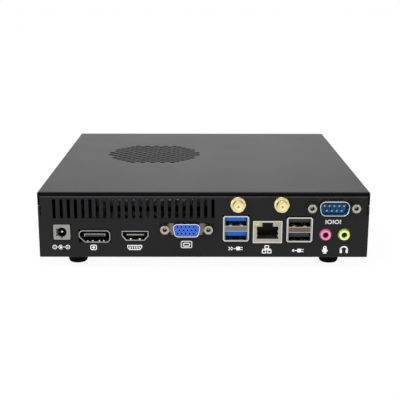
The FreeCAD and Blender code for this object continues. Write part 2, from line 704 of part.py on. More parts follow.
def port_openings():
    """Every opening of the rear panel except the slots."""
    gap = 2 * S.port_gap
    lan_level = S.board_level + S.lan_height / 2
    barrel = S.aerial_radius + S.aerial_gap
    collar = S.sound_collar_radius + S.port_gap
    openings = [
        (S.inlet_side, centred(S.inlet_width + gap, S.inlet_height + gap, 0, S.inlet_level)),
        (S.display_side, centred(S.display_width + gap, S.display_height + gap, 0, S.display_level)),
        (S.video_side, video_outline(-S.port_gap)),
        (S.monitor_side, dsub_opening(S.monitor_width, S.monitor_height, S.monitor_level)),
        (S.fast_side, centred(S.fast_width + gap, S.fast_height + gap, 0, S.fast_level)),
        (S.lan_side, centred(S.lan_width + gap, S.lan_height + gap, 0, lan_level)),
        (S.plain_side, centred(S.plain_width + gap, S.plain_height + gap, 0, S.plain_level)),
        (S.serial_side, dsub_outline(S.serial_width, S.serial_height, SERIAL_LEVEL, -S.port_gap)),
    ]
    for side in (S.mic_side, S.headphone_side):
        openings.append((side, Round(0, S.sound_level, collar)))
    for side in (S.aerial_left_side, S.aerial_right_side):
        openings.append((side, Round(0, AERIAL_LEVEL, barrel)))
    for side in (-1, 1):
        openings.append((S.serial_side, shank_hole(side, SERIAL_LEVEL)))
    return [shifted(loop, side) for side, loop in openings]


# ---------------------------------------------------------------- case


def screw_tab(side):
    """Profile of a tab inside a side wall: lapped on the wall, then clear of the cover's flange."""
    top = S.case_height - S.sheet_gauge - S.tab_headroom
    step = TRAY_SIDE - S.lid_clearance
    outer = INNER_WIDTH - S.lid_clearance
    inner = outer - S.sheet_gauge
    low = TRAY_SIDE - S.tab_lap
    corners = [(INNER_WIDTH, low), (INNER_WIDTH, step), (outer, step), (outer, top), (inner, top), (inner, low)]
    return [(side * across, up) for across, up in corners]


def base_tray():
    """Floor and side walls of the case, folded from one sheet."""
    tray = Piece("base_tray", 0, MIDDLE, UNDERSIDE)
    tray.pad("Z", 0, TRAY_SIDE, centred(S.case_width, 2 * INNER_DEPTH))
    tray.pocket("Z", S.sheet_gauge, TRAY_SIDE, centred(2 * INNER_WIDTH, 2 * INNER_DEPTH))
    for row in (-1, 1):
        middle = row * S.tab_spacing / 2
        low, high = middle - S.tab_width / 2, middle + S.tab_width / 2
        tray.pad("Y", low, high, screw_tab(-1), screw_tab(1))
        level = S.case_height - S.cover_screw_drop
        hole = hexagon(S.cover_screw_shank + 2 * S.thread_gap, middle, level)
        tray.pocket("X", -INNER_WIDTH, INNER_WIDTH, hole)
    fold = edges_at("Z", 0, Size.of(0))
    sides = edges_at("X", 0, HALF_WIDTH), edges_at("X", 0, -HALF_WIDTH)
    tray.dress("Fillet", S.bend_radius, lambda edge: fold(edge) and any(side(edge) for side in sides))
    return tray.done()


def end_panel(name, end, openings):
    """Rear or front panel with its opening cuts and the flange folded in along its top."""
    panel = Piece(name, 0, MIDDLE, UNDERSIDE)
    low, high = sorted((end * INNER_DEPTH, end * HALF_DEPTH), key=lambda size: size.number)
    panel.pad("Z", 0, TRAY_END, rectangle(-HALF_WIDTH, HALF_WIDTH, low, high))
    panel.pocket(
        "Z", TRAY_SIDE, TRAY_END,
        rectangle(-HALF_WIDTH, -PANEL_HALF, low, high), rectangle(PANEL_HALF, HALF_WIDTH, low, high),
    )
    flange_half = PANEL_HALF - S.sheet_gauge - 2 * S.lid_clearance
    reach = sorted((end * INNER_DEPTH, end * (INNER_DEPTH - S.end_flange_depth)), key=lambda size: size.number)
    panel.pad("Z", TRAY_END - S.sheet_gauge, TRAY_END, rectangle(-flange_half, flange_half, *reach))
    openings(panel)
    fold = edges_at("Z", 0, Size.of(0))
    outer = edges_at("Y", 0, end * HALF_DEPTH)
    panel.dress("Fillet", S.bend_radius, lambda edge: fold(edge) and (outer(edge) or runs_along(edge, "Y")))
    crest = edges_at("Z", 0, TRAY_END)
    panel.dress("Fillet", S.bend_radius / 2, lambda edge: crest(edge) and outer(edge))
    return panel.done()


def relief_slits():
    """Slits at the upper corners of an end panel, where the folds meet."""
    low = TRAY_SIDE - S.relief_length
    inner = INNER_WIDTH - S.relief_width
    return [
        rectangle(-INNER_WIDTH, -inner, low, TRAY_SIDE),
        rectangle(inner, INNER_WIDTH, low, TRAY_SIDE),
    ]


def open_rear_panel(panel):
    """Connector openings, relief slits and the row of slots."""
    for opening in port_openings():
        panel.pocket("Y", -HALF_DEPTH, -INNER_DEPTH, opening)
    panel.pocket("Y", -HALF_DEPTH, -INNER_DEPTH, *relief_slits())
    slot = centred(S.slot_width, S.slot_length, S.slot_first_side - HALF_WIDTH, SLOT_LEVEL)
    first = panel.pocket("Y", -HALF_DEPTH, -INNER_DEPTH, slot)
    panel.repeat([first], "H_Axis", S.slot_pitch_side, S.slot_count)


def open_front_panel(panel):
    """Holes for the power button and the two light pipes."""
    button_level = S.board_level + S.button_level
    pipe = S.pipe_width + 2 * S.pipe_gap
    panel.pocket(
        "Y", INNER_DEPTH, HALF_DEPTH,
        Round(S.button_side, button_level, S.button_radius + S.button_gap),
        centred(pipe, pipe, S.pipe_side - S.pipe_pitch / 2, button_level),
        centred(pipe, pipe, S.pipe_side + S.pipe_pitch / 2, button_level),
        *relief_slits(),
    )


def vent_holes():
    """Hexagonal punches on a staggered grid, kept where their centres lie inside the round vent."""
    cells = DOC.getObject("Sizes")
    side_step = cells.vent_pitch_side / 2
    front_step = cells.vent_pitch_front / 2
    reach = int(cells.vent_radius / min(side_step, front_step)) + 1
    corner = cells.vent_hole_across / math.sqrt(3)
    underside = cells.case_height - 2 * cells.sheet_gauge
    punches = []
    for column in range(-reach, reach + 1):
        for row in range(-reach, reach + 1):
            across, along = column * side_step, row * front_step
            if (column + row) % 2 or math.hypot(across, along) > cells.vent_radius:
                continue
            turns = [math.radians(60 * step) for step in range(7)]
            points = [
                FreeCAD.Vector(across + corner * math.cos(turn), along + corner * math.sin(turn), underside)
                for turn in turns
            ]
            face = Part.Face(Part.makePolygon(points))
            punches.append(face.extrude(FreeCAD.Vector(0, 0, 3 * cells.sheet_gauge)))
    tool = DOC.addObject("Part::Feature", "vent_punch")
    tool.Shape = Part.makeCompound(punches)
    place(tool, S.vent_side, MIDDLE + S.vent_front, UNDERSIDE)
    return tool


def cover_screw_spots():
    """Side, place along the case and direction of each cover screw."""
    return [(side, row * S.tab_spacing / 2) for side in (-1, 1) for row in (-1, 1)]


def top_cover():
    blank = Piece("cover_blank", 0, MIDDLE, UNDERSIDE)
    low = S.case_height - S.cover_side_drop
    lip = S.case_height - S.cover_end_drop
    blank.pad("Z", low, S.case_height, centred(S.case_width, S.case_depth))
    blank.pocket("Z", low, S.case_height - S.sheet_gauge, centred(2 * INNER_WIDTH, 2 * INNER_DEPTH))
    blank.pocket(
        "Z", low, lip,
        rectangle(-INNER_WIDTH, INNER_WIDTH, -HALF_DEPTH, -INNER_DEPTH),
        rectangle(-INNER_WIDTH, INNER_WIDTH, INNER_DEPTH, HALF_DEPTH),
    )
    level = S.case_height - S.cover_screw_drop
    hole = S.cover_screw_neck + S.thread_gap
    rows = [Round(row * S.tab_spacing / 2, level, hole) for row in (-1, 1)]
    blank.pocket("X", -HALF_WIDTH, HALF_WIDTH, *rows)
    top = edges_at("Z", 0, S.case_height)
    outer = lambda edge: top(edge) and (runs_along(edge, "X") or runs_along(edge, "Y"))
    blank.dress("Fillet", S.bend_radius, outer)

    tools = [vent_holes()]
    for side, along in cover_screw_spots():
        cone = DOC.addObject("Part::Cone", "countersink")
        cone.setExpression("Radius1", hole.formula)
        cone.setExpression("Radius2", (S.cover_screw_head_radius + S.thread_gap).formula)
        cone.setExpression("Height", S.sheet_gauge.formula)
        place(cone, side * INNER_WIDTH, MIDDLE + along, UNDERSIDE + level, "+X" if side > 0 else "-X")
        tools.append(cone)
    punches = DOC.addObject("Part::Compound", "cover_punches")
    punches.Links = tools
    cover = DOC.addObject("Part::Cut", "top_cover")
    cover.Label = "top_cover"
    cover.Base = blank.body
    cover.Tool = punches
    DOC.recompute()
    NODES.append(cover)
    return cover


def cover_screws():
    level = UNDERSIDE + S.case_height - S.cover_screw_drop
    screws = []
    for side, along in cover_screw_spots():
        screw = Piece("cover_screw", side * HALF_WIDTH, MIDDLE + along, level, "+X" if side > 0 else "-X")
        screw.turn((0, -S.sheet_gauge), (S.cover_screw_neck, -S.sheet_gauge), (S.cover_screw_head_radius, 0), (0, 0))
        shank = [(v, u) for u, v in hexagon(S.cover_screw_shank)]
        screw.pad("Z", -S.cover_screw_length, -S.sheet_gauge, shank)
        screws.append(screw.body)
    return group("cover_screws", screws)


def feet():
    across = HALF_WIDTH - S.foot_side_inset
    along = HALF_DEPTH - S.foot_end_inset
    rubber = []
    for side, end in ((-1, -1), (-1, 1), (1, -1), (1, 1)):
        foot = Piece("foot", side * across, MIDDLE + end * along, 0)
        foot.turn(
            (0, 0), (S.foot_radius - S.foot_edge, 0), (S.foot_radius, S.foot_edge),
            (S.foot_radius, S.foot_height), (0, S.foot_height),
        )
        rubber.append(foot.body)
    return group("feet", rubber)


# ---------------------------------------------------------------- board and what stands on it


def motherboard():
    board = Piece("motherboard", 0, REAR, DECK - S.board_gauge)
    half = BOARD_WIDTH / 2
    board.pad("Z", 0, S.board_gauge, rectangle(-half, half, S.board_setback, BOARD_FRONT))
    screw = S.board_screw_shank + 2 * S.thread_gap
    holes = [hexagon(screw, across, along) for across, along in board_corners()]
    board.pocket("Z", 0, S.board_gauge, *holes)
    return board.done()


def board_pillars():
    pillars = Piece("board_pillars", 0, REAR, UNDERSIDE + S.sheet_gauge)
    height = S.board_level - S.board_gauge - S.sheet_gauge
    spots = board_corners()
    pillars.pad("Z", 0, height, *[hexagon(S.pillar_across, across, along) for across, along in spots])
    bore = S.board_screw_shank + 2 * S.thread_gap
    depth = S.board_screw_length - S.board_gauge + 2 * S.thread_gap
    holes = [hexagon(bore, across, along) for across, along in spots]
    pillars.pocket("Z", height - depth, height, *holes)
    return pillars.done()


def headed_screws(name, spots, seat, shank, length, head_across, head):
    """Hexagon-headed screws, standing upright at the spots."""
    screws = Piece(name, 0, REAR, seat)
    screws.pad("Z", -length, 0, *[hexagon(shank, across, along) for across, along in spots])
    screws.pad("Z", 0, head, *[hexagon(head_across, across, along) for across, along in spots])
    return screws.done()


def board_screws():
    headed_screws(
        "board_screws", board_corners(), DECK, S.board_screw_shank, S.board_screw_length,
        S.board_screw_across, S.board_screw_head,
    )


def processor():
    carrier = Piece("processor", S.vent_side, MIDDLE + S.vent_front, DECK)
    carrier.pad("Z", 0, S.cpu_gauge, centred(S.cpu_width, S.cpu_width))
    carrier.pad("Z", S.cpu_gauge, S.cpu_gauge + S.die_gauge, centred(S.die_width, S.die_depth))
    return carrier.done()


def cooler():
    seat = DECK + S.cpu_gauge + S.die_gauge
    sink = Piece("cooler", S.vent_side, MIDDLE + S.vent_front, seat)
    roof = UNDERSIDE + S.case_height - S.sheet_gauge - S.cooler_headroom
    height = roof - seat
    sink.pad("Z", 0, S.cooler_base, centred(S.cooler_width, S.cooler_depth))
    edge = (S.fin_gauge - S.cooler_width) / 2
    fin = sink.pad("Z", S.cooler_base, height, centred(S.fin_gauge, S.cooler_depth, edge, 0))
    sink.repeat([fin], "H_Axis", (S.cooler_width - S.fin_gauge) / (S.fin_count - 1), S.fin_count)
    notch = S.cooler_corner
    spots = corners_of(S.cooler_width - notch, S.cooler_depth - notch)
    sink.pocket("Z", S.cooler_base, height, *[centred(notch, notch, u, v) for u, v in spots])
    hole = S.cooler_screw_shank + 2 * S.thread_gap
    sink.pocket("Z", 0, S.cooler_base, *[hexagon(hole, u, v) for u, v in cooler_corners()])
    return sink.done()


def cooler_screws():
    seat = DECK + S.cpu_gauge + S.die_gauge + S.cooler_base
    length = S.cpu_gauge + S.die_gauge + S.cooler_base
    along_case = HALF_DEPTH + S.vent_front
    spots = [(S.vent_side + u, along_case + v) for u, v in cooler_corners()]
    headed_screws(
        "cooler_screws", spots, seat, S.cooler_screw_shank, length,
        S.cooler_screw_across, S.cooler_screw_head,
    )


def memory():
    socket = Piece("memory_socket", S.memory_side, REAR, DECK)
    half = S.memory_width / 2
    outer = half + S.thread_gap + S.memory_arm
    rear = S.memory_front - S.memory_depth + S.memory_insert - S.memory_socket_bar
    bar_front = rear + S.memory_socket_bar
    inner = half + S.thread_gap
    socket.pad("Z", 0, S.memory_socket_height, [
        (-outer, rear), (outer, rear), (outer, S.memory_front), (inner, S.memory_front),
        (inner, bar_front), (-inner, bar_front), (-inner, S.memory_front), (-outer, S.memory_front),
    ])
    low, high = S.memory_height, S.memory_height + S.memory_gauge
    socket.pocket("Y", bar_front - S.memory_insert, bar_front, rectangle(-half, half, low, high))
    socket.done()

    module = Piece("memory_module", S.memory_side, REAR, DECK + S.memory_height)
    back = S.memory_front - S.memory_depth
    module.pad("Z", 0, S.memory_gauge, rectangle(-half, half, back, S.memory_front))
    first = (1 - S.memory_chip_count) / 2 * S.memory_chip_pitch
    row = bar_front + (S.memory_front - bar_front) / 2
    chip = centred(S.memory_chip_width, S.memory_chip_depth, first, row)
    top = S.memory_gauge + S.memory_chip_gauge
    chips = module.pad("Z", S.memory_gauge, top, chip)
    module.repeat([chips], "H_Axis", S.memory_chip_pitch, S.memory_chip_count)
    module.done()


def plug_in_card(name, side, front, length):
    """A card lying in an edge socket, its free end notched around a post."""
    half = S.card_width / 2
    socket = Piece(f"{name}_socket", side, REAR, DECK)
    socket.pad("Z", 0, S.card_socket_height, rectangle(
        S.card_insert - S.card_socket_depth, S.card_insert, front - half, front + half,
    ))
    low, high = S.card_height, S.card_height + S.card_gauge
    socket.pocket("X", 0, S.card_insert, rectangle(front - half, front + half, low, high))
    socket.done()

    card = Piece(name, side, REAR, DECK + S.card_height)
    card.pad("Z", 0, S.card_gauge, rectangle(0, length, front - half, front + half))
    card.pocket("Z", 0, S.card_gauge, Round(length, front, S.card_notch_radius))
    chip = rectangle(length / 4, length * 5 / 8, front - half / 2, front + half / 2)
    card.pad("Z", S.card_gauge, S.card_gauge + S.card_chip_gauge, chip)
    card.done()


def card_posts():
    posts = Piece("card_posts", 0, REAR, DECK)
    spots = [(DRIVE_SIDE + S.drive_length, S.drive_front), (S.radio_side + S.radio_length, S.radio_front)]
    seat = S.card_height
    over = seat + S.card_gauge
    top = over + S.post_screw_head
    steps = ((0, seat, S.post_across), (seat, over, S.post_screw_neck), (over, top, S.post_screw_across))
    for low, high, across in steps:
        posts.pad("Z", low, high, *[hexagon(across, u, v) for u, v in spots])
    return posts.done()


def cell():
    holder = Piece("cell_holder", S.cell_side, REAR + BOARD_FRONT - S.cell_inset, DECK)
    holder.pad("Z", 0, S.cell_holder_height, centred(S.cell_holder_width, S.cell_holder_width))
    room = S.cell_radius + S.cell_gap
    channel = rectangle(-room, room, -room, S.cell_holder_width / 2)
    holder.pocket("Z", S.cell_holder_floor, S.cell_holder_height, channel)
    holder.done()
    coin = Piece("coin_cell", S.cell_side, REAR + BOARD_FRONT - S.cell_inset, DECK + S.cell_holder_floor)
    coin.pad("Z", 0, S.cell_gauge, Round(0, 0, S.cell_radius))
    coin.done()


def power_parts():
    chokes = Piece("chokes", S.choke_side, REAR, DECK)
    choke = centred(S.choke_width, S.choke_width, 0, S.choke_front)
    first = chokes.pad("Z", 0, S.choke_height, choke)
    chokes.repeat([first], "H_Axis", S.choke_pitch, S.choke_count)
    chokes.done()
    caps = Piece("capacitors", S.chip_cap_side, REAR, DECK)
    cap = caps.pad("Z", 0, S.chip_cap_height, centred(S.chip_cap_width, S.chip_cap_depth, 0, S.chip_cap_front))
    caps.repeat([cap], "H_Axis", S.chip_cap_pitch, S.chip_cap_count)
    caps.done()


# ---------------------------------------------------------------- front panel


def power_button():
    button = Piece("power_button", S.button_side, FRONT, DECK + S.button_level, "+Y")
    flange_top = -S.sheet_gauge - S.button_seat
    flange_low = flange_top - S.button_flange
    button.pad("Z", flange_low, flange_top, centred(S.button_flange_width, S.button_flange_width))
    button.pad("Z", flange_top, S.button_reach, Round(0, 0, S.button_radius))
    button.pad("Z", STEM_END, flange_low, centred(S.stem_width, S.stem_width))
    return button.done()


def power_switch():
    front = BOARD_FRONT - S.switch_inset
    switch = Piece("power_switch", S.button_side, REAR, DECK)
    rear = front - S.switch_depth
    across = S.switch_width / 2
    switch.pad("Y", rear, front, rectangle(-across, across, 0, S.switch_height))
    bore = S.stem_width + 2 * S.stem_gap
    depth = S.stem_insert + S.stem_travel_room
    switch.pocket("Y", front - depth, front, centred(bore, bore, 0, S.button_level))
    return switch.done()


def light_pipes():
    front = BOARD_FRONT - S.switch_inset
    pipes = Piece("light_pipes", S.pipe_side, REAR, DECK)
    across = S.pipe_block_width / 2
    top = S.button_level + S.pipe_block_cap
    pipes.pad("Y", front - S.pipe_block_depth, front, rectangle(-across, across, 0, top))
    offset = S.pipe_pitch / 2
    rods = [centred(S.pipe_width, S.pipe_width, side * offset, S.button_level) for side in (-1, 1)]
    pipes.pad("Y", front, S.case_depth, *rods)
    return pipes.done()


# ---------------------------------------------------------------- rear connectors


def at_rear(name, side):
    """A piece whose origin is on the outside of the rear panel, level with the underside."""
    return Piece(name, side, REAR, UNDERSIDE)


def power_inlet():
    housing = at_rear("inlet_housing", S.inlet_side)
    face = centred(S.inlet_width, S.inlet_height, 0, S.inlet_level)
    housing.pad("Y", 0, S.inlet_depth, face)
    across = S.inlet_width / 2
    foot = rectangle(-across, across, S.board_level, S.inlet_level)
    housing.pad("Y", S.board_setback, S.inlet_depth, foot)
    bore = Round(0, S.inlet_level, S.inlet_bore_radius)
    housing.pocket("Y", 0, S.inlet_bore_depth, bore)
    housing.done()
    pin = at_rear("inlet_pin", S.inlet_side)
    pin.pad("Y", S.inlet_pin_recess, S.inlet_bore_depth, Round(0, S.inlet_level, S.inlet_pin_radius))
    pin.done()


def shell_and_tongue(name, side, level, outline, sizes):
    """A metal shell with a plastic tongue whose backplate stands on the board."""
    width, height, depth, reach, tongue_width, tongue, rise = sizes
    shell = at_rear(f"{name}_shell", side)
    shell.pad("Y", -reach, depth, outline(), outline(S.shell_gauge))
    shell.done()
    insert = at_rear(f"{name}_tongue", side)
    top = level + height / 2
    back = rectangle(-width / 2, width / 2, S.board_level, top)
    insert.pad("Y", depth, depth + S.backplate, back)
    insert.pad("Y", S.tongue_recess - reach, depth, centred(tongue_width, tongue, 0, level + rise))
    insert.done()


def display_connectors():
    shell_and_tongue("display", S.display_side, S.display_level, display_outline, (
        S.display_width, S.display_height, S.display_depth, S.display_reach,
        S.display_tongue_width, S.display_tongue, S.display_tongue_rise,
    ))
    shell_and_tongue("video", S.video_side, S.video_level, video_outline, (
        S.video_width, S.video_height, S.video_depth, S.video_reach,
        S.video_tongue_width, S.video_tongue, S.video_tongue_rise,
    ))


DSUB_MOUTH = S.sheet_gauge - S.dsub_shell_reach
DSUB_BACK = S.sheet_gauge + S.dsub_flange_gauge


def long_edges(length):
    """A test for edges along Y with one given length."""
    return lambda edge: runs_along(edge, "Y") and abs(edge.BoundBox.YLength - length.number) < 1e-6


def dsub_shell(name, side, level, width, height, flange_height):
    """Flange behind the rear panel with a rounded D-shaped skirt through it."""
    shell = at_rear(name, side)
    flange = centred(S.dsub_flange_width, flange_height, 0, level)
    shell.pad("Y", S.sheet_gauge, DSUB_BACK, flange)
    shell.pad("Y", DSUB_MOUTH, S.sheet_gauge, dsub_outline(width, height, level))
    shell.pocket("Y", DSUB_MOUTH, DSUB_BACK, dsub_outline(width, height, level, S.dsub_wall))
    shell.dress("Fillet", S.dsub_round - S.dsub_wall, long_edges(DSUB_BACK - DSUB_MOUTH))
    shell.dress("Fillet", S.dsub_round, long_edges(S.dsub_shell_reach))
    shell.pocket("Y", S.sheet_gauge, DSUB_BACK, shank_hole(-1, level), shank_hole(1, level))
    shell.done()


def dsub_insert(name, side, level, width, height, front):
    """Plastic that fills the skirt from the given depth back to the flange."""
    insert = at_rear(name, side)
    fit = S.dsub_wall + S.thread_gap
    insert.pad("Y", front, DSUB_BACK, dsub_outline(width, height, level, fit))
    insert.dress("Fillet", S.dsub_round - fit, long_edges(DSUB_BACK - front))
    return insert


def jackscrews(name, side, level, seat):
    """Two hexagonal screws with threaded mouths, seated at a depth from the panel's outside."""
    screws = Piece(name, side, REAR + seat, UNDERSIDE + level, "-Y")
    offset = S.dsub_screw_spacing / 2
    hands = (-1, 1)
    screws.pad("Z", 0, S.jack_length, *[hexagon(S.jack_across, hand * offset) for hand in hands])
    bores = [Round(hand * offset, 0, S.jack_bore_radius) for hand in hands]
    screws.pocket("Z", S.jack_length - S.jack_bore_depth, S.jack_length, *bores)
    screws.pad("Z", -S.jack_shank, 0, *[hexagon(S.jack_shank_across, hand * offset) for hand in hands])
    screws.done()


def monitor_connector():
    size = (S.monitor_side, S.monitor_level, S.monitor_width, S.monitor_height)
    dsub_shell("monitor_shell", *size, S.monitor_flange_height)
    insert = dsub_insert("monitor_insert", *size, DSUB_MOUTH + S.monitor_insert_recess)
    front = DSUB_MOUTH + S.monitor_insert_recess
    across = S.dsub_flange_width / 2
    body = rectangle(-across, across, S.board_level, S.monitor_level + S.monitor_flange_height / 2)
    insert.pad("Y", DSUB_BACK, DSUB_BACK + S.monitor_body_depth, body)
    shank_end = S.sheet_gauge + S.jack_shank + S.thread_gap
    insert.pocket("Y", DSUB_BACK, shank_end, shank_hole(-1, S.monitor_level), shank_hole(1, S.monitor_level))
    for row, stagger in ((1, -0.25), (0, 0.25), (-1, -0.25)):
        start = (stagger - 2) * S.monitor_hole_pitch
        level = S.monitor_level + row * S.monitor_row_pitch
        mouth = hexagon(S.monitor_hole_across, start, level)
        hole = insert.pocket("Y", front, front + S.monitor_hole_depth, mouth)
        insert.repeat([hole], "H_Axis", S.monitor_hole_pitch, 5)
    insert.done()
    jackscrews("monitor_jackscrews", S.monitor_side, S.monitor_level, S.sheet_gauge)


def serial_connector():
    size = (S.serial_side, SERIAL_LEVEL, S.serial_width, S.serial_height)
    dsub_shell("serial_shell", *size, S.serial_flange_height)
    front = S.sheet_gauge - S.serial_floor
    insert = dsub_insert("serial_insert", *size, front)
    body = centred(S.serial_body_width, S.serial_height, 0, SERIAL_LEVEL)
    insert.pad("Y", DSUB_BACK, DSUB_BACK + S.serial_body_depth, body)
    insert.done()
    pins = at_rear("serial_pins", S.serial_side)
    for row, count in ((1, 5), (-1, 4)):
        start = (1 - count) / 2 * S.serial_pin_pitch
        level = SERIAL_LEVEL + row * S.serial_row_pitch / 2
        pin = pins.pad("Y", front - S.serial_pin_length, front, hexagon(S.serial_pin_across, start, level))
        pins.repeat([pin], "H_Axis", S.serial_pin_pitch, count)
    pins.done()
    jackscrews("serial_jackscrews", S.serial_side, SERIAL_LEVEL, 0)


def stacked_sockets(name, side, level, width, height):
    """Two sockets one above the other in a shared shell, with tongues and their contacts."""
    shell = at_rear(f"{name}_shell", side)
    half_strip = S.stack_strip / 2
    mouth_half = width / 2 - S.shell_gauge
    top = height / 2 - S.shell_gauge
    mouths = [(level + half_strip, level + top), (level - top, level - half_strip)]
    loops = [rectangle(-mouth_half, mouth_half, low, high) for low, high in mouths]
    shell.pad("Y", -S.stack_reach, S.stack_depth, stacked_outline(width, height, level))
    shell.pocket("Y", -S.stack_reach, S.stack_depth, *loops)
    shell.done()

    insert = at_rear(f"{name}_tongues", side)
    back = rectangle(-width / 2, width / 2, S.board_level, level + height / 2)
    insert.pad("Y", S.stack_depth, S.stack_depth + S.backplate, back)
    front = S.tongue_recess - S.stack_reach
    undersides = [high - S.stack_tongue_drop - S.stack_tongue for low, high in mouths]
    across = S.stack_tongue_width / 2
    tongues = [rectangle(-across, across, low, low + S.stack_tongue) for low in undersides]
    insert.pad("Y", front, S.stack_depth, *tongues)
    insert.done()

    contacts = at_rear(f"{name}_contacts", side)
    first = (1 - S.stack_contact_count) / 2 * S.stack_contact_pitch
    strip = [
        centred(S.stack_contact_width, S.stack_contact_gauge, first, low - S.stack_contact_gauge / 2)
        for low in undersides
    ]
    start = front + S.tongue_recess
    pair = contacts.pad("Y", start, start + S.stack_contact_length, *strip)
    contacts.repeat([pair], "H_Axis", S.stack_contact_pitch, S.stack_contact_count)
    contacts.done()


def network_socket():
    middle = S.board_level + S.lan_height / 2
    inner_width = S.lan_width - 2 * S.lan_wall
    inner_height = S.lan_height - 2 * S.lan_wall
    face = S.lan_face - S.lan_reach
    floor = S.board_level + S.lan_mouth_level
    ceiling = floor + S.lan_mouth_height
    mouth_half = S.lan_mouth_width / 2
    latch_half = S.lan_latch_width / 2
    mouth_back = face + S.lan_mouth_depth
    mouth = [
        (-mouth_half, floor), (mouth_half, floor), (mouth_half, ceiling), (latch_half, ceiling),
        (latch_half, ceiling + S.lan_latch_height), (-latch_half, ceiling + S.lan_latch_height),
        (-latch_half, ceiling), (-mouth_half, ceiling),
    ]
    top = middle + inner_height / 2
    light_low = top - S.lan_light_height
    edge = inner_width / 2
    windows = {
        "left": rectangle(-edge, S.lan_light_width - edge, light_low, top),
        "right": rectangle(edge - S.lan_light_width, edge, light_low, top),
    }
    shield = at_rear("lan_shield", S.lan_side)
    outline = centred(S.lan_width, S.lan_height, 0, middle)
    shield.pad("Y", -S.lan_reach, face, outline, mouth, *windows.values())
    shield.pad("Y", face, S.lan_depth, outline, centred(inner_width, inner_height, 0, middle))
    shield.done()
    insert = at_rear("lan_insert", S.lan_side)
    insert.pad("Y", face, S.lan_depth, centred(inner_width, inner_height, 0, middle))
    insert.pocket("Y", face, mouth_back, mouth)
    insert.pocket("Y", face, face + S.lan_light_depth, *windows.values())
    insert.done()
    for hand, window in windows.items():
        light = at_rear(f"lan_light_{hand}", S.lan_side)
        light.pad("Y", S.lan_light_recess - S.lan_reach, face + S.lan_light_depth, window)
        light.done()

    springs = at_rear("lan_contacts", S.lan_side)
    start = mouth_back - S.lan_contact_length
    profile = [
        (start, floor), (mouth_back, floor + S.lan_contact_rise),
        (mouth_back, floor + S.lan_contact_rise + S.lan_contact_gauge), (start, floor + S.lan_contact_gauge),
    ]
    first = (1 - S.lan_contact_count) / 2 * S.lan_contact_pitch - S.lan_contact_width / 2
    spring = springs.pad("X", first, first + S.lan_contact_width, profile)
    springs.repeat([spring], "N_Axis", S.lan_contact_pitch, S.lan_contact_count)
    springs.done()


def sound_socket(name, side):
    socket = at_rear(name, side)
    collar = Round(0, S.sound_level, S.sound_collar_radius)
    socket.pad("Y", -S.sound_reach, S.sheet_gauge, collar)
    across = S.sound_width / 2
    body = rectangle(-across, across, S.board_level, S.sound_level + S.sound_headroom)
    socket.pad("Y", S.sheet_gauge, S.sheet_gauge + S.sound_depth, body)
    bore = Round(0, S.sound_level, S.sound_bore_radius)
    socket.pocket("Y", -S.sound_reach, S.sound_bore_depth - S.sound_reach, bore)
    socket.done()


def antenna_sockets():
    sides = {"left": S.aerial_left_side, "right": S.aerial_right_side}
    level = UNDERSIDE + AERIAL_LEVEL
    inside = -S.sheet_gauge
    for hand, side in sides.items():
        jack = Piece(f"antenna_jack_{hand}", side, REAR, level, "-Y")
        neck = S.aerial_nut + S.aerial_neck_reach
        jack.pad("Z", inside, neck, Round(0, 0, S.aerial_neck_radius))
        jack.pad("Z", neck, S.aerial_reach, Round(0, 0, S.aerial_radius))
        jack.pad("Z", inside - S.aerial_flange, inside, hexagon(S.aerial_flange_across))
        tail = inside - S.aerial_flange
        jack.pad("Z", tail - S.aerial_tail, tail, hexagon(S.aerial_tail_across))
        mouth = Round(0, 0, S.aerial_bore_radius)
        jack.pocket("Z", S.aerial_reach - S.aerial_bore_depth, S.aerial_reach, mouth)
        jack.done()

    hole = S.aerial_neck_radius + S.thread_gap
    middle = (S.aerial_left_side + S.aerial_right_side) / 2
    offsets = [side - middle for side in sides.values()]
    nuts = Piece("antenna_nuts", middle, REAR, level, "-Y")
    nuts.pad("Z", 0, S.aerial_nut, *[hexagon(S.aerial_nut_across, u) for u in offsets])
    nuts.pocket("Z", 0, S.aerial_nut, *[Round(u, 0, hole) for u in offsets])
    nuts.done()
    insulators = Piece("antenna_insulators", middle, REAR, level, "-Y")
    base = S.aerial_reach - S.aerial_bore_depth
    face = S.aerial_reach - S.aerial_insulator_recess
    insulators.pad("Z", base, face, *[Round(u, 0, S.aerial_bore_radius) for u in offsets])
    contact = [hexagon(S.aerial_socket_across, u) for u in offsets]
    insulators.pocket("Z", face - S.aerial_socket_depth, face, *contact)
    insulators.done()


STEM_END = -(S.case_depth - BOARD_FRONT + S.switch_inset + S.stem_insert)


def build():
    base_tray()
    end_panel("rear_panel", -1, open_rear_panel)
    end_panel("front_panel", 1, open_front_panel)
    top_cover()
    cover_screws()
    feet()
    motherboard()
    board_pillars()
    board_screws()
    processor()
    cooler()
    cooler_screws()
    memory()
    plug_in_card("drive", DRIVE_SIDE, S.drive_front, S.drive_length)
    plug_in_card("radio", S.radio_side, S.radio_front, S.radio_length)
    card_posts()
    cell()
    power_parts()
    power_button()
    power_switch()
    light_pipes()
    power_inlet()
    display_connectors()
    monitor_connector()
    stacked_sockets("fast", S.fast_side, S.fast_level, S.fast_width, S.fast_height)
    network_socket()
    stacked_sockets("plain", S.plain_side, S.plain_level, S.plain_width, S.plain_height)
    serial_connector()
    sound_socket("mic_socket", S.mic_side)
    sound_socket("headphone_socket", S.headphone_side)
    antenna_sockets()


def check_document():
    """Stop if any object failed, or any piece has no valid shape."""
    DOC.recompute()
    for thing in DOC.Objects:
        if "Invalid" in thing.State or "Error" in thing.State:
            raise RuntimeError(f"{thing.Label} did not build: {thing.State}")
    for node in NODES:
        if node.Shape.isNull() or not node.Shape.isValid():
            raise RuntimeError(f"{node.Label} has no valid shape")


def write_parts():
    os.makedirs("parts", exist_ok=True)
    for node in NODES:
        node.Shape.exportStep(f"parts/{node.Label}.step")


build()
check_document()
write_parts()
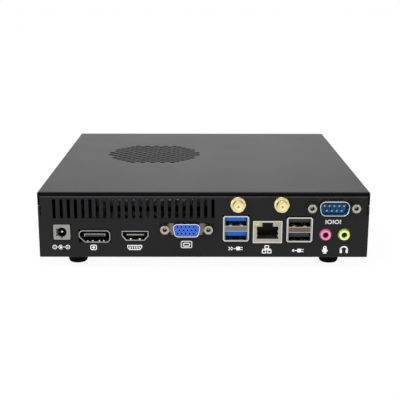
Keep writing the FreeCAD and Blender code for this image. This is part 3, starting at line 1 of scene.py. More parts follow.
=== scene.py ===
"""Looks of a thin industrial computer: paint, print, sockets, trim and a plain studio.

Shapes are in millimetres and turned into metres by finished() and at(). Properties are in metres.
"""

import math

import bmesh
import bpy
from bpy.props import FloatProperty, FloatVectorProperty, PointerProperty
from mathutils import Matrix, Vector


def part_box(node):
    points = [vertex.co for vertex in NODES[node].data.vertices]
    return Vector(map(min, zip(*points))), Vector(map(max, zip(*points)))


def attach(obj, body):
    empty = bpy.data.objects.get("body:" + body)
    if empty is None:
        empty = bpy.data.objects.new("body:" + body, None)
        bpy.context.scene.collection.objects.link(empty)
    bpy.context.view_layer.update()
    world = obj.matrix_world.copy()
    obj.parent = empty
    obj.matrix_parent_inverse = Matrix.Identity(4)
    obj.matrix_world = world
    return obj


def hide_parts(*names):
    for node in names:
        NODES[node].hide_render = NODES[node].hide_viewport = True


bl_info = {
    "name": "Thin industrial computer",
    "version": (1, 0, 0),
    "blender": (4, 5, 0),
    "location": "3D View > Sidebar > Computer",
    "description": "Dresses the packed computer and lights it",
    "category": "Object",
}

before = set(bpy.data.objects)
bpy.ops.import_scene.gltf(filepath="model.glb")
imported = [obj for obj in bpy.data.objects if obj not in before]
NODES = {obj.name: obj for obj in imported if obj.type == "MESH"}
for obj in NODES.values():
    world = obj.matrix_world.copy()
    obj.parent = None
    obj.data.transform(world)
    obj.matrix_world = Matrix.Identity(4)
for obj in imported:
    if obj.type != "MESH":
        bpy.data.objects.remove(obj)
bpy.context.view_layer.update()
MM = 0.001
BODY = "chassis"


# ---------------------------------------------------------------- places on the frame


def corners_of(node):
    """The low and high corners of a node's box."""
    low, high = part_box(node)
    return low / MM, high / MM


def middle(node):
    """Centre of a node's box."""
    low, high = corners_of(node)
    return (low + high) / 2


def size_of(node):
    """Width, depth and height of a node's box."""
    low, high = corners_of(node)
    return high - low


REAR = corners_of("rear_panel")[0].y
UNDERSIDE = corners_of("base_tray")[0].z

# Local Z points out of the rear panel, local Y up and local X to the right.
OUT_OF_REAR = Matrix.Rotation(math.radians(90), 4, "X")


def at(across, deep, up, turn=OUT_OF_REAR):
    """A turn followed by a move to a place in the row frame."""
    return Matrix.Translation(MM * Vector((across, deep, up))) @ turn


def ahead(place, step):
    """A place moved along its own Z."""
    return place @ Matrix.Translation((0, 0, step * MM))


# ---------------------------------------------------------------- flat outlines


def polar(radius, turn, across=0, along=0):
    return (across + radius * math.cos(turn), along + radius * math.sin(turn))


def disc(radius, across=0, along=0, steps=36):
    return [polar(radius, math.tau * step / steps, across, along) for step in range(steps)]


def rounded(width, height, radius, across=0, along=0, steps=5):
    """A rectangle with round corners."""
    loop = []
    for quarter, (side, rise) in enumerate(((1, 1), (-1, 1), (-1, -1), (1, -1))):
        centre = (across + side * (width / 2 - radius), along + rise * (height / 2 - radius))
        turns = [math.pi / 2 * (quarter + step / steps) for step in range(steps + 1)]
        loop += [polar(radius, turn, *centre) for turn in turns]
    return loop


def rounded_polygon(points, radius, steps=6):
    """A convex polygon with round corners."""
    loop = []
    points = [Vector(point) for point in points]
    for before, corner, after in zip(points[-1:] + points, points, points[1:] + points[:1]):
        back, ahead_of = (before - corner).normalized(), (after - corner).normalized()
        half = back.angle(ahead_of) / 2
        centre = corner + (back + ahead_of).normalized() * radius / math.sin(half)
        start = corner + back * radius / math.tan(half) - centre
        end = corner + ahead_of * radius / math.tan(half) - centre
        arms = [start.lerp(end, step / steps).normalized() * radius for step in range(steps + 1)]
        loop += [tuple(centre + arm) for arm in arms]
    return loop


def d_outline(width, height, inset, radius):
    """The D of a connector's shell with sides that lean in by ten degrees, drawn in by an inset."""
    slant = math.tan(math.radians(10))
    half = height / 2 - inset
    centre = width / 2 - height / 2 * slant - inset
    narrow, wide = centre - half * slant, centre + half * slant
    return rounded_polygon([(-narrow, -half), (narrow, -half), (wide, half), (-wide, half)], radius - inset)


def cut_corners(width, height, cut):
    """A rectangle with its corners cut off."""
    across, rise = width / 2, height / 2
    return [
        (-across, -rise + cut), (-across + cut, -rise), (across - cut, -rise), (across, -rise + cut),
        (across, rise - cut), (across - cut, rise), (-across + cut, rise), (-across, rise - cut),
    ]


def bar(width, height, across=0, along=0):
    left, low = across - width / 2, along - height / 2
    return [(left, low), (left + width, low), (left + width, low + height), (left, low + height)]


def ring(radius, stroke, across=0, along=0):
    return [disc(radius, across, along), disc(radius - stroke, across, along)]


def border(width, height, radius, stroke, across=0, along=0):
    """The outline of a rounded rectangle, drawn with a stroke."""
    inner = max(radius - stroke, stroke / 3)
    return [
        rounded(width, height, radius, across, along),
        rounded(width - 2 * stroke, height - 2 * stroke, inner, across, along),
    ]


def arch(radius, stroke, start, end, across=0, along=0, steps=24):
    """Part of a ring, from one angle to another in degrees."""
    turns = [math.radians(start + (end - start) * step / steps) for step in range(steps + 1)]
    outer = [polar(radius, turn, across, along) for turn in turns]
    inner = [polar(radius - stroke, turn, across, along) for turn in turns]
    return outer + inner[::-1]


def band_along(points, stroke):
    """A mitred band along a line of points."""
    points = [Vector(point) for point in points]
    left, right = [], []
    for place, point in enumerate(points):
        before = (point - points[place - 1]).normalized() if place else None
        after = (points[place + 1] - point).normalized() if place + 1 < len(points) else None
        before, after = before or after, after or before
        along = (before + after).normalized()
        normal = Vector((-along.y, along.x))
        reach = stroke / 2 / max(normal.dot(Vector((-before.y, before.x))), 0.4)
        left.append(tuple(point + reach * normal))
        right.append(tuple(point - reach * normal))
    return left + right[::-1]


# ---------------------------------------------------------------- meshes


def finished(name, work, scale=1.0):
    """Turn a bmesh into a mesh with outward normals and smooth curved faces."""
    bmesh.ops.scale(work, vec=(scale, scale, scale), verts=work.verts)
    bmesh.ops.recalc_face_normals(work, faces=work.faces)
    mesh = bpy.data.meshes.new(name)
    work.to_mesh(mesh)
    work.free()
    mesh.shade_smooth()
    mesh.set_sharp_from_angle(angle=math.radians(32))
    return mesh


def plate(name, groups, thickness):
    """Flat plates from groups of loops; a loop inside another is a hole."""
    work = bmesh.new()
    for loops in groups:
        curve = bpy.data.curves.new(name, "CURVE")
        curve.dimensions = "2D"
        curve.fill_mode = "BOTH"
        curve.extrude = thickness / 2
        for loop in loops:
            spline = curve.splines.new("POLY")
            spline.points.add(len(loop) - 1)
            for point, place in zip(spline.points, loop):
                point.co = (*place, 0, 1)
            spline.use_cyclic_u = True
        holder = bpy.data.objects.new(name, curve)
        filled = bpy.data.meshes.new_from_object(holder)
        work.from_mesh(filled)
        bpy.data.objects.remove(holder)
        bpy.data.curves.remove(curve)
        bpy.data.meshes.remove(filled)
    bmesh.ops.remove_doubles(work, verts=work.verts, dist=0.0005)
    return finished(name, work, MM)


def rings_to_mesh(work, rings, closed=False, capped=False):
    """Join rings of equal length with faces; a ring of one point is a tip."""
    rows = [[work.verts.new(point) for point in points] for points in rings]
    pairs = list(zip(rows, rows[1:]))
    if closed:
        pairs.append((rows[-1], rows[0]))
    for low, high in pairs:
        count = max(len(low), len(high))
        for step in range(count):
            after = (step + 1) % count
            sides = ((low, step), (low, after), (high, after), (high, step))
            work.faces.new(list(dict.fromkeys(row[place % len(row)] for row, place in sides)))
    if capped:
        work.faces.new(rows[0])
        work.faces.new(rows[-1])


def lathe(name, profile, steps=48, spots=((0, 0),), closed=False):
    """Turn (radius, height) corners about Z, once at each spot."""
    work = bmesh.new()
    for spot in spots:
        circles = [(disc(radius, *spot, steps if radius else 1), height) for radius, height in profile]
        rings_to_mesh(work, [[(*point, height) for point in circle] for circle, height in circles], closed)
    return finished(name, work, MM)


def sleeve(name, sections):
    """Join closed outlines of equal length, each with its height, into a ring-shaped body."""
    work = bmesh.new()
    rings_to_mesh(work, [[(*point, height) for point in loop] for loop, height in sections], closed=True)
    return finished(name, work, MM)


def hexagonal_nut(name, across_flats, corner, height, bore, depth, spots, steps=72):
    """Hexagons turned down to a corner radius, with a round bore to the given depth."""
    flat = across_flats / 2
    crown = 0.95 * flat
    chamfer = math.tan(math.radians(30))
    edge = 0.12
    sixth = math.pi / 3
    turns = [math.tau * step / steps for step in range(steps)]
    reaches = [min(corner, flat / math.cos(turn % sixth - sixth / 2)) for turn in turns]
    sections = [(reaches, [0] * steps), (reaches, [height - (reach - crown) * chamfer for reach in reaches])]
    inside = ((crown, height), (bore + edge, height), (bore, height - edge), (bore, height - depth))
    sections += [([radius] * steps, [level] * steps) for radius, level in inside]
    through = depth == height
    work = bmesh.new()
    for spot in spots:
        rings = [
            [(*polar(radius, turn, *spot), level) for radius, turn, level in zip(radii, turns, levels)]
            for radii, levels in sections
        ]
        if not through:
            rings = [[(*spot, 0)], *rings, [(*spot, height - depth - bore / 2)]]
        rings_to_mesh(work, rings, closed=through)
    return finished(name, work, MM)


def thread_ridge(name, radius, rise, pitch, length, steps=24):
    """One helical ridge around Z, with both ends run out to nothing."""
    work = bmesh.new()
    total = int(length / pitch * steps)
    rings = []
    for step in range(total + 1):
        out = rise * min(1, step / 8, (total - step) / 8) + 0.004
        section = ((0, -0.36), (out, -0.05), (out, 0.05), (0, 0.36))
        turn = math.tau * step / steps
        rings.append([(*polar(radius + wide, turn), pitch * (step / steps + up)) for wide, up in section])
    rings_to_mesh(work, rings, capped=True)
    return finished(name, work, MM)


def leaf_springs(name, section, roots, reach, bow, power, steps):
    """Leaf springs that run back from the mouth; each root is a place and the way that it bows."""
    start, end = reach
    work = bmesh.new()
    for across, along, side, rise in roots:
        rings = []
        for step in range(steps + 1):
            share = step / steps
            lift = bow * math.sin(math.pi * share) ** power
            leaf = bar(*section, across + side * lift, along + rise * lift)
            rings.append([(*corner, start + (end - start) * share) for corner in leaf])
        rings_to_mesh(work, rings, capped=True)
    return finished(name, work, MM)


def joined(name, *meshes):
    """One mesh made of several, which are used up."""
    work = bmesh.new()
    for mesh in meshes:
        work.from_mesh(mesh)
        bpy.data.meshes.remove(mesh)
    return finished(name, work)


def add_piece(mesh, place, finish, body=BODY, stands_for=None):
    """Put a mesh in the scene as the piece of its name, riding on a body of the frame."""
    piece = bpy.data.objects.new(mesh.name, mesh)
    bpy.context.scene.collection.objects.link(piece)
    mesh.transform(place)
    mesh.materials.append(finish)
    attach(piece, body)
    if stands_for:
        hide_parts(stands_for)


def dress(finish, *nodes):
    """Give CAD nodes a finish."""
    for node in nodes:
        slots = NODES[node].data.materials
        slots.clear()
        slots.append(finish)


# ---------------------------------------------------------------- shader trees


class Wire:
    """A node's output; arithmetic on it adds Math nodes."""

    def __init__(self, shader, socket):
        self.shader = shader
        self.socket = socket

    def math(self, operation, first, second):
        return self.shader.node("ShaderNodeMath", {"operation": operation}, {0: first, 1: second})

    def __add__(self, other):
        return self.math("ADD", self, other)

    def __sub__(self, other):
        return self.math("SUBTRACT", self, other)

    def __mul__(self, other):
        return self.math("MULTIPLY", self, other)

    def __radd__(self, other):
        return self.math("ADD", other, self)

    def __rsub__(self, other):
        return self.math("SUBTRACT", other, self)

    def __rmul__(self, other):
        return self.math("MULTIPLY", other, self)

    def above(self, edge):
        return self.math("GREATER_THAN", self, edge)

    def most(self, other):
        return self.math("MAXIMUM", self, other)


class Shader:
    """A node tree under construction."""

    def __init__(self, owner):
        owner.use_nodes = True
        self.owner = owner
        self.tree = owner.node_tree
        self.tree.nodes.clear()

    def node(self, kind, settings=None, inputs=None, output=0):
        """Add a node: its settings first, then values or wires for its inputs."""
        node = self.tree.nodes.new(kind)
        for name, value in (settings or {}).items():
            setattr(node, name, value)
        for name, value in (inputs or {}).items():
            if isinstance(value, Wire):
                self.tree.links.new(value.socket, node.inputs[name])
            else:
                node.inputs[name].default_value = value
        return Wire(self, node.outputs[output]) if node.outputs else None

    def place(self):
        return self.node("ShaderNodeTexCoord", output="Object")

    def stretched(self, factors):
        """Places with each direction scaled, for grain that runs one way."""
        return self.node("ShaderNodeVectorMath", {"operation": "MULTIPLY"}, {0: self.place(), 1: factors})

    def past(self, axis, edge):
        """One past a place on the X, Y or Z axis of the row frame, zero before it."""
        return self.node("ShaderNodeSeparateXYZ", {}, {0: self.place()}, axis).above(edge * MM)

    def noise(self, scale, detail=2.0, places=None, roughness=0.5):
        return self.node("ShaderNodeTexNoise", {}, {
            "Vector": places or self.place(), "Scale": scale, "Detail": detail, "Roughness": roughness,
        })

    def band(self, fac, low, high):
        """Fac stretched from low..high to 0..1 and held there."""
        return self.node("ShaderNodeMapRange", {"clamp": True}, {
            "Value": fac, "From Min": low, "From Max": high, "To Min": 0.0, "To Max": 1.0,
        })

    def mix(self, mask, low, high):
        """From one colour to another as the mask goes from 0 to 1."""
        ends = [value if isinstance(value, Wire) else (*value, 1.0) for value in (low, high)]
        return self.node("ShaderNodeMix", {"data_type": "RGBA"}, {0: mask, 6: ends[0], 7: ends[1]}, 2)

    def bump(self, height, depth):
        """A normal from a height field; depth is in metres."""
        return self.node("ShaderNodeBump", {}, {"Height": height, "Distance": depth, "Strength": 1.0})

    def surface(self, inputs):
        """The closing shader, with values and wires for its sockets by name."""
        shader = self.node("ShaderNodeBsdfPrincipled", {}, inputs)
        self.node("ShaderNodeOutputMaterial", {}, {"Surface": shader})
        return self.owner


def times(tint, factor):
    """A colour made lighter or darker."""
    return tuple(min(1, factor * part) for part in tint)


# ---------------------------------------------------------------- finishes

# How far the drawing marks of a metal are squeezed across the case, along it and upwards.
MARKS_ALONG = (30, 1, 30)
MARKS_ACROSS = (1, 30, 30)
MARKS_UPRIGHT = (30, 1, 1)
MARKS_ROUND_BARREL = (1, 40, 1)
MARKS_ROUND_PILLAR = (1, 1, 30)
NO_MARKS = (1, 1, 1)


def painted(name, coat, tint, gleam, painted_light_edge=None, above=None, below=None):
    """Satin powder coat: orange peel and a faint cloudiness; below or above the height of an edge it takes
    another colour, painted shade or a painted highlight.
    """
    shade = Shader(bpy.data.materials.new(name))
    cloud = shade.band(shade.noise(28, 4), 0.35, 0.65)
    speck = shade.noise(3200, 3)
    body = shade.mix(cloud * 0.6 + speck * 0.4, times(tint, 0.82), times(tint, 1.2))
    # Painted light: the colour below the edge is painted shade and the colour above it a painted highlight.
    if painted_light_edge:
        body = shade.mix(shade.past("Z", painted_light_edge), below or body, above or body)
    peel = shade.noise(coat.grain, 2) * 0.7 + shade.noise(3.1 * coat.grain, 1) * 0.3
    return shade.surface({
        "Base Color": body,
        "Roughness": coat.gloss + (speck - 0.5) * 0.12 + (cloud - 0.5) * 0.04,
        "Specular IOR Level": gleam,
        "Sheen Weight": coat.sheen,
        "Sheen Roughness": 0.45,
        "Normal": shade.bump(peel, 0.00002),
    })


def moulded(name, tint, gloss=0.42, grain=900, gleam=0.4, painted_shade_behind=None):
    """Moulded plastic with a fine spark-eroded grain; the last argument gives a depth and the colour of painted
    shade past it.
    """
    shade = Shader(bpy.data.materials.new(name))
    cloud = shade.band(shade.noise(90, 3), 0.3, 0.7)
    fine = shade.noise(grain, 3, roughness=0.6)
    body = shade.mix(cloud, times(tint, 0.9), times(tint, 1.08))
    if painted_shade_behind:
        depth, painted_shade_tint = painted_shade_behind
        body = shade.mix(shade.past("Y", depth), body, painted_shade_tint)
    return shade.surface({
        "Base Color": body,
        "Roughness": gloss + (fine - 0.5) * 0.2,
        "Specular IOR Level": gleam,
        "Normal": shade.bump(fine, 0.000015),
    })


def plated(name, tint, gloss, marks=MARKS_ALONG, wear=0.08):
    """Plated metal: fine drawing marks in one direction and uneven tarnish."""
    shade = Shader(bpy.data.materials.new(name))
    lines = shade.noise(420, 3, shade.stretched(marks))
    cloud = shade.band(shade.noise(160, 4), 0.35, 0.7)
    return shade.surface({
        "Base Color": shade.mix(cloud * 0.5 + lines * 0.5, times(tint, 1 - 2 * wear), tint),
        "Metallic": 1.0,
        "Roughness": gloss + (lines - 0.5) * 0.22 + (cloud - 0.5) * 0.08,
        "Normal": shade.bump(lines, 0.000008),
    })


def rubber(name, tint):
    """Soft black rubber, dull, with a bloom in patches."""
    shade = Shader(bpy.data.materials.new(name))
    bloom = shade.band(shade.noise(140, 4), 0.45, 0.75)
    pores = shade.noise(1800, 2)
    return shade.surface({
        "Base Color": shade.mix(bloom, tint, times(tint, 2)),
        "Roughness": 0.72 + (pores - 0.5) * 0.2,
        "Specular IOR Level": 0.03,
        "Normal": shade.bump(pores, 0.00004),
    })


def solder_mask(name, tint, copper):
    """A board's lacquer with tracks running both ways under it and pads between them."""
    shade = Shader(bpy.data.materials.new(name))
    across, along = (
        shade.node("ShaderNodeTexWave", {"wave_type": "BANDS", "bands_direction": direction}, {
            "Vector": shade.place(), "Scale": scale, "Distortion": 1.5, "Detail": 1.0, "Detail Scale": 60.0,
        })
        for direction, scale in (("X", 260.0), ("Y", 210.0))
    )
    region = shade.noise(55, 1).above(0.5)
    tracks = (across * region + along * (1 - region)).above(0.62)
    spots = shade.node("ShaderNodeTexVoronoi", {"feature": "F1"}, {"Vector": shade.place(), "Scale": 210.0})
    pads = 1 - shade.band(spots, 0.14, 0.17)
    masked = shade.mix(tracks, tint, times(tint, 1.7))
    return shade.surface({
        "Base Color": shade.mix(pads * 0.8, masked, copper),
        "Metallic": pads * 0.7,
        "Roughness": 0.3 + pads * 0.1,
        "Specular IOR Level": 0.5,
        "Normal": shade.bump(tracks.most(pads), 0.00003),
    })


def printed(name, tint):
    """Screen-printed ink, a little thinner here and there."""
    shade = Shader(bpy.data.materials.new(name))
    thin = shade.band(shade.noise(1500, 3), 0.3, 0.6)
    return shade.surface({
        "Base Color": shade.mix(thin, times(tint, 0.86), tint),
        "Roughness": 0.5 + (thin - 0.5) * 0.15,
        "Specular IOR Level": 0.3,
        "Normal": shade.bump(thin, 0.00001),
    })


# ---------------------------------------------------------------- sizes and colours to change


def tint_property(name, description, default):
    return FloatVectorProperty(name=name, description=description, default=default, size=3,
                               min=0, max=1, subtype="COLOR")


def length_property(name, description, default):
    return FloatProperty(name=name, description=description, default=default, min=0,
                         unit="LENGTH", subtype="DISTANCE", precision=5)


def share_property(name, description, default):
    return FloatProperty(name=name, description=description, default=default, min=0, max=1, subtype="FACTOR")


def power_property(name, description, default):
    return FloatProperty(name=name, description=description, default=default, min=0, unit="POWER")


class CasePaint(bpy.types.PropertyGroup):
    # Painted light: the cover's tint is the panels' black powder coat made about twice as light, so that its top
    # looks lit.
    cover: tint_property("Cover", "Powder coat of the cover", (0.020, 0.020, 0.0198))
    panel: tint_property("Panels", "Powder coat of the tray and its end panels", (0.0090, 0.0086, 0.0098))
    # Painted shade: the cover is painted almost black below this depth under its top, on the lower part of its
    # rounded edge and all below.
    lip: length_property("Lip", "Rounded edge of the cover, with the shaded faces below it", 0.45 * MM)
    # Painted highlight: the end panels are painted pale to this depth below their top, where their fold catches
    # light.
    painted_light_edge: length_property("Folded edge", "Pale line along the top of the end panels", 0.38 * MM)
    gloss: share_property("Roughness", "Roughness of the powder coat", 0.5)
    sheen: share_property("Paleness", "How pale the powder coat turns at a low angle", 0.06)
    cover_gleam: share_property("Cover gleam", "Reflection of the cover's powder coat", 0.06)
    panel_gleam: share_property("Panel gleam", "Reflection of the panels' powder coat", 0.16)
    grain: FloatProperty(name="Orange peel", description="Waves of the powder coat per metre",
                         default=1100, min=1)
    rubber: tint_property("Feet", "Rubber of the feet", (0.0022, 0.0022, 0.0028))
    foot_width: length_property("Foot width", "Across a rubber foot", 11.4 * MM)
    foot_round: length_property("Foot rounding", "How far the feet draw in at the bottom", 1.3 * MM)


class Print(bpy.types.PropertyGroup):
    ink: tint_property("Ink", "Screen-printed marks", (0.92, 0.92, 0.92))
    thickness: length_property("Ink thickness", "Marks above the paint", 0.05 * MM)
    stroke: length_property("Stroke", "Width of the printed lines", 0.43 * MM)


class Plating(bpy.types.PropertyGroup):
    steel: tint_property("Tin", "Tin-plated shells", (0.86, 0.85, 0.83))
    nickel: tint_property("Nickel", "Jackscrews", (0.52, 0.465, 0.39))
    # Partly painted shade: a tan passivated tone, made dark where the flange lies in the panel's cut-out.
    passivated_and_shade: tint_property("Passivated", "Flange of the fifteen-way connector", (0.24, 0.20, 0.17))
    # Painted shade: the deep-set flange of the nine-way connector is painted near black.
    painted_shade: tint_property("Shaded", "Flange of the nine-way connector, set deep", (0.04, 0.033, 0.029))
    # Dark threads in the mouths of the jackscrews.
    thread: tint_property("Thread", "Oiled threads in the jackscrews", (0.09, 0.08, 0.07))
    pins: tint_property("Pins", "Pins of the nine-way connector", (0.42, 0.43, 0.45))
    zinc: tint_property("Zinc", "Screws", (0.62, 0.63, 0.65))
    gold: tint_property("Gold", "Antenna sockets", (0.90, 0.77, 0.41))
    shield: tint_property("Shield", "Face of the network socket", (0.52, 0.49, 0.44))
    fast_strip: tint_property("Fast strip", "Strip between the fast sockets", (0.26, 0.235, 0.215))
    plain_strip: tint_property("Plain strip", "Strip between the plain sockets", (0.225, 0.155, 0.12))
    aluminium: tint_property("Aluminium", "Finned cooler", (0.72, 0.72, 0.72))
    brass: tint_property("Brass", "Pillars and posts", (0.72, 0.56, 0.27))
    gloss: share_property("Roughness", "Roughness of the plated parts", 0.3)


class Plastics(bpy.types.PropertyGroup):
    # Painted shade: near-black colour of plastic deep inside a socket.
    shade: tint_property("Shade", "Plastic far inside a socket", (0.012, 0.012, 0.013))
    inlet: tint_property("Inlet", "Housing of the power inlet", (0.25, 0.25, 0.24))
    # Painted highlight: colour of the pale strips on the tongues' ends, where their front edges catch light.
    tongue: tint_property("Tongue edge", "Pale edges of the flat sockets' tongues", (0.42, 0.42, 0.40))
    monitor: tint_property("Monitor", "Insert of the fifteen-way socket", (0.03, 0.115, 0.54))
    fast: tint_property("Fast", "Tongues of the fast sockets", (0.003, 0.11, 0.51))
    serial: tint_property("Serial", "Insert of the nine-way plug", (0.004, 0.088, 0.225))
    microphone: tint_property("Microphone", "Microphone socket", (0.84, 0.25, 0.45))
    headphone: tint_property("Headphones", "Headphone socket", (0.72, 0.90, 0.27))
    cream: tint_property("Cream", "Insulators of the antenna sockets", (0.90, 0.73, 0.38))
    button: tint_property("Button", "Cap of the power button", (0.03, 0.03, 0.032))
    gloss: share_property("Roughness", "Roughness of the coloured mouldings", 0.42)


class Studio(bpy.types.PropertyGroup):
    floor: tint_property("Floor", "Pale floor", (0.9, 0.9, 0.9))
    backdrop: FloatProperty(name="Backdrop", description="Brightness of the backdrop", default=1.0, min=0)
    level: FloatProperty(name="Fill", description="Level of the light from all round", default=0.98, min=0)
    key: power_property("Key light", "Power of the large lamp above", 6.0)
    back: power_property("Back light", "Power of the lamp behind", 4.2)
    side: power_property("Side light", "Power of the lamp on the left", 3.0)
    shadow: share_property("Shadow", "How much of the object's shadow the floor shows", 0.06)


GROUPS = {
    "case_paint": CasePaint, "print_ink": Print, "plating": Plating, "plastics": Plastics, "studio": Studio,
}


# ---------------------------------------------------------------- shared finishes


def finish_named(name):
    """A material that came with the frame, or a shared finish, made when it is first asked for."""
    if name in bpy.data.materials:
        return bpy.data.materials[name]
    scene = bpy.context.scene
    metal = scene.plating
    maker, *traits = {
        "tin_plate": (plated, metal.steel, metal.gloss),
        "nickel_plate": (plated, metal.nickel, 0.8 * metal.gloss, MARKS_ALONG, 0.12),
        "zinc_plate": (plated, metal.zinc, metal.gloss, NO_MARKS, 0.12),
        "gold_plate": (plated, metal.gold, 0.7 * metal.gloss, MARKS_ROUND_BARREL, 0.06),
        "white_ink": (printed, scene.print_ink.ink),
    }[name]
    return maker(name, *traits)


# ---------------------------------------------------------------- printed signs, each about its own centre


def plug_sign(across, stroke):
    """A plain plug with two blades and a length of lead."""
    blades = [[bar(1.5, stroke, across + 1.85, along)] for along in (0.62, -0.62)]
    return [[rounded(2.3, 2.2, 0.5, across)], *blades, [bar(2.2, stroke, across - 2.2)]]


def inlet_sign(stroke):
    """A pin in its sleeve, with a lead to a pole on each side."""
    thin = 0.8 * stroke
    minus, plus, pole = -3.6, 4.0, 1.3
    groups = [ring(pole, thin, across) for across in (minus, plus)]
    groups += [[bar(1.15, 0.75 * thin, across)] for across in (minus, plus)]
    groups += [[bar(0.75 * thin, 0.4, plus, along)] for along in (0.38, -0.38)]
    groups += [[disc(0.62)], [arch(1.35, thin, 50, 310)]]
    for start, end in ((minus + pole - 0.02, -1.33), (0.6, plus - pole + 0.02)):
        groups += [[bar(end - start, 0.8 * thin, (start + end) / 2)]]
    return groups


def display_sign(stroke):
    """A screen in a square."""
    return [border(3.7, 3.2, 0.9, 1.2 * stroke), [disc(0.72)]]


def video_sign(stroke):
    """The mouth of the socket with a row of contacts."""
    outer = [(-4.3, 1.55), (-4.3, 0.1), (-3.1, -1.45), (3.1, -1.45), (4.3, 0.1), (4.3, 1.55)]
    inner = [(-3.8, 1.05), (-3.8, 0.25), (-2.85, -0.95), (2.85, -0.95), (3.8, 0.25), (3.8, 1.05)]
    return [[outer, inner]] + [[bar(0.62, 1.3, 1.3 * step, 0.05)] for step in range(-2, 3)]


def monitor_sign(stroke):
    """A screen in a wide frame."""
    return [border(6.5, 4.3, 0.9, stroke), border(4.1, 2.3, 0.9, 1.35 * stroke, 0, -0.1)]


def fast_sign(stroke):
    """Two chevrons and a plug."""
    chevrons = [[(left, 1), (left + 1.1, 0), (left, -1)] for left in (-4.2, -2.7)]
    return [[band_along(points, 1.1 * stroke)] for points in chevrons] + plug_sign(1.4, stroke)


def network_sign(stroke):
    """One box above two, joined by a line."""
    lower = [border(2.5, 2.2, 0.4, 1.2 * stroke, hand * 1.55, -1.45) for hand in (-1, 1)]
    return [border(2.6, 2.2, 0.5, 1.2 * stroke, 0, 1.35), *lower, [bar(5.0, 0.5)]]


def plain_sign(stroke):
    """A plug on a lead that ends in a dot."""
    return plug_sign(0.6, stroke) + [[disc(0.75, -2.75)]]


def microphone_sign(stroke):
    """A microphone in its cradle."""
    return [
        [rounded(2.1, 3.3, 1.0), disc(0.36, 0, 0.8)],
        [arch(1.75, 0.6, 185, 355, 0, -0.55)], [bar(2.1, 0.55, 0, -2.65)],
    ]


def headphone_sign(stroke):
    """A headband with two ear pads."""
    return [[arch(2.45, 0.75, 0, 180)]] + [[rounded(1.25, 2.3, 0.45, hand * 1.7, -0.75)] for hand in (-1, 1)]


def serial_sign(stroke):
    """Ones and noughts."""
    groups = [[bar(stroke, 2.5, step)] for step in (-4.2, 0, 4.2)]
    for step in (-2.1, 2.1):
        ovals = ((1.4, 1.25), (1.4 - stroke, 1.25 - stroke))
        groups += [[[(step + wide * u, tall * v) for u, v in disc(1)] for wide, tall in ovals]]
    return groups


# Each sign with its socket, the step to the right of the socket's middle and the height above the underside.
SIGNS = (
    (inlet_sign, "inlet_housing", -0.8, 6.2), (display_sign, "display_shell", -0.8, 6.0),
    (video_sign, "video_shell", -0.4, 5.9), (monitor_sign, "monitor_shell", -0.1, 7.8),
    (fast_sign, "fast_shell", 0, 5.4), (network_sign, "lan_shield", -0.2, 4.95),
    (plain_sign, "plain_shell", -0.4, 4.2), (microphone_sign, "mic_socket", 0, 5.3),
    (headphone_sign, "headphone_socket", 0.3, 4.5), (serial_sign, "serial_shell", 0.4, 21.5),
)


# ---------------------------------------------------------------- operators

# A quarter turn in steps, for rolled and rounded edges.
QUARTER = [math.radians(step) for step in range(0, 91, 15)]
JACKSCREW_SPACING = 24.99


class DressCase(bpy.types.Operator):
    """Paint the cover, the tray and its end panels"""

    bl_idname = "computer.dress_case"
    bl_label = "Case"

    def execute(self, context):
        paint = context.scene.case_paint
        # Painted shade: the cover turns almost black below the lip's depth under its top.
        lip = corners_of("top_cover")[1].z - paint.lip / MM
        painted_shade = times(paint.cover, 0.03)
        cover = painted("cover_powder_coat", paint, paint.cover, paint.cover_gleam, lip, below=painted_shade)
        dress(cover, "top_cover")
        # Painted highlight: a pale band along the top of the end panels, where their fold catches light.
        painted_light_edge = corners_of("rear_panel")[1].z - paint.painted_light_edge / MM
        painted_highlight = times(paint.panel, 7)
        panel = painted("panel_powder_coat", paint, paint.panel, paint.panel_gleam, painted_light_edge, above=painted_highlight)
        dress(panel, "rear_panel", "front_panel")
        dress(painted("tray_powder_coat", paint, paint.panel, paint.panel_gleam), "base_tray")
        return {"FINISHED"}


class MakeFeet(bpy.types.Operator):
    """Turn the four rubber feet with their rounded lower edge"""

    bl_idname = "computer.make_feet"
    bl_label = "Feet"

    def execute(self, context):
        paint = context.scene.case_paint
        low, high = corners_of("feet")
        radius = paint.foot_width / 2 / MM
        draw_in = paint.foot_round / MM
        steepness = 1.9
        spots = [
            (across, along)
            for across in (low.x + radius, high.x - radius)
            for along in (low.y + radius, high.y - radius)
        ]
        edge = [
            (radius - draw_in + draw_in * math.sin(turn), steepness * draw_in * (1 - math.cos(turn)))
            for turn in QUARTER
        ]
        profile = [(0, 0), (radius - draw_in - 0.5, 0), *edge, (radius, UNDERSIDE), (0, UNDERSIDE)]
        mesh = lathe("rubber_feet", profile, 56, spots)
        add_piece(mesh, Matrix(), rubber("soft_rubber", paint.rubber), stands_for="feet")
        return {"FINISHED"}


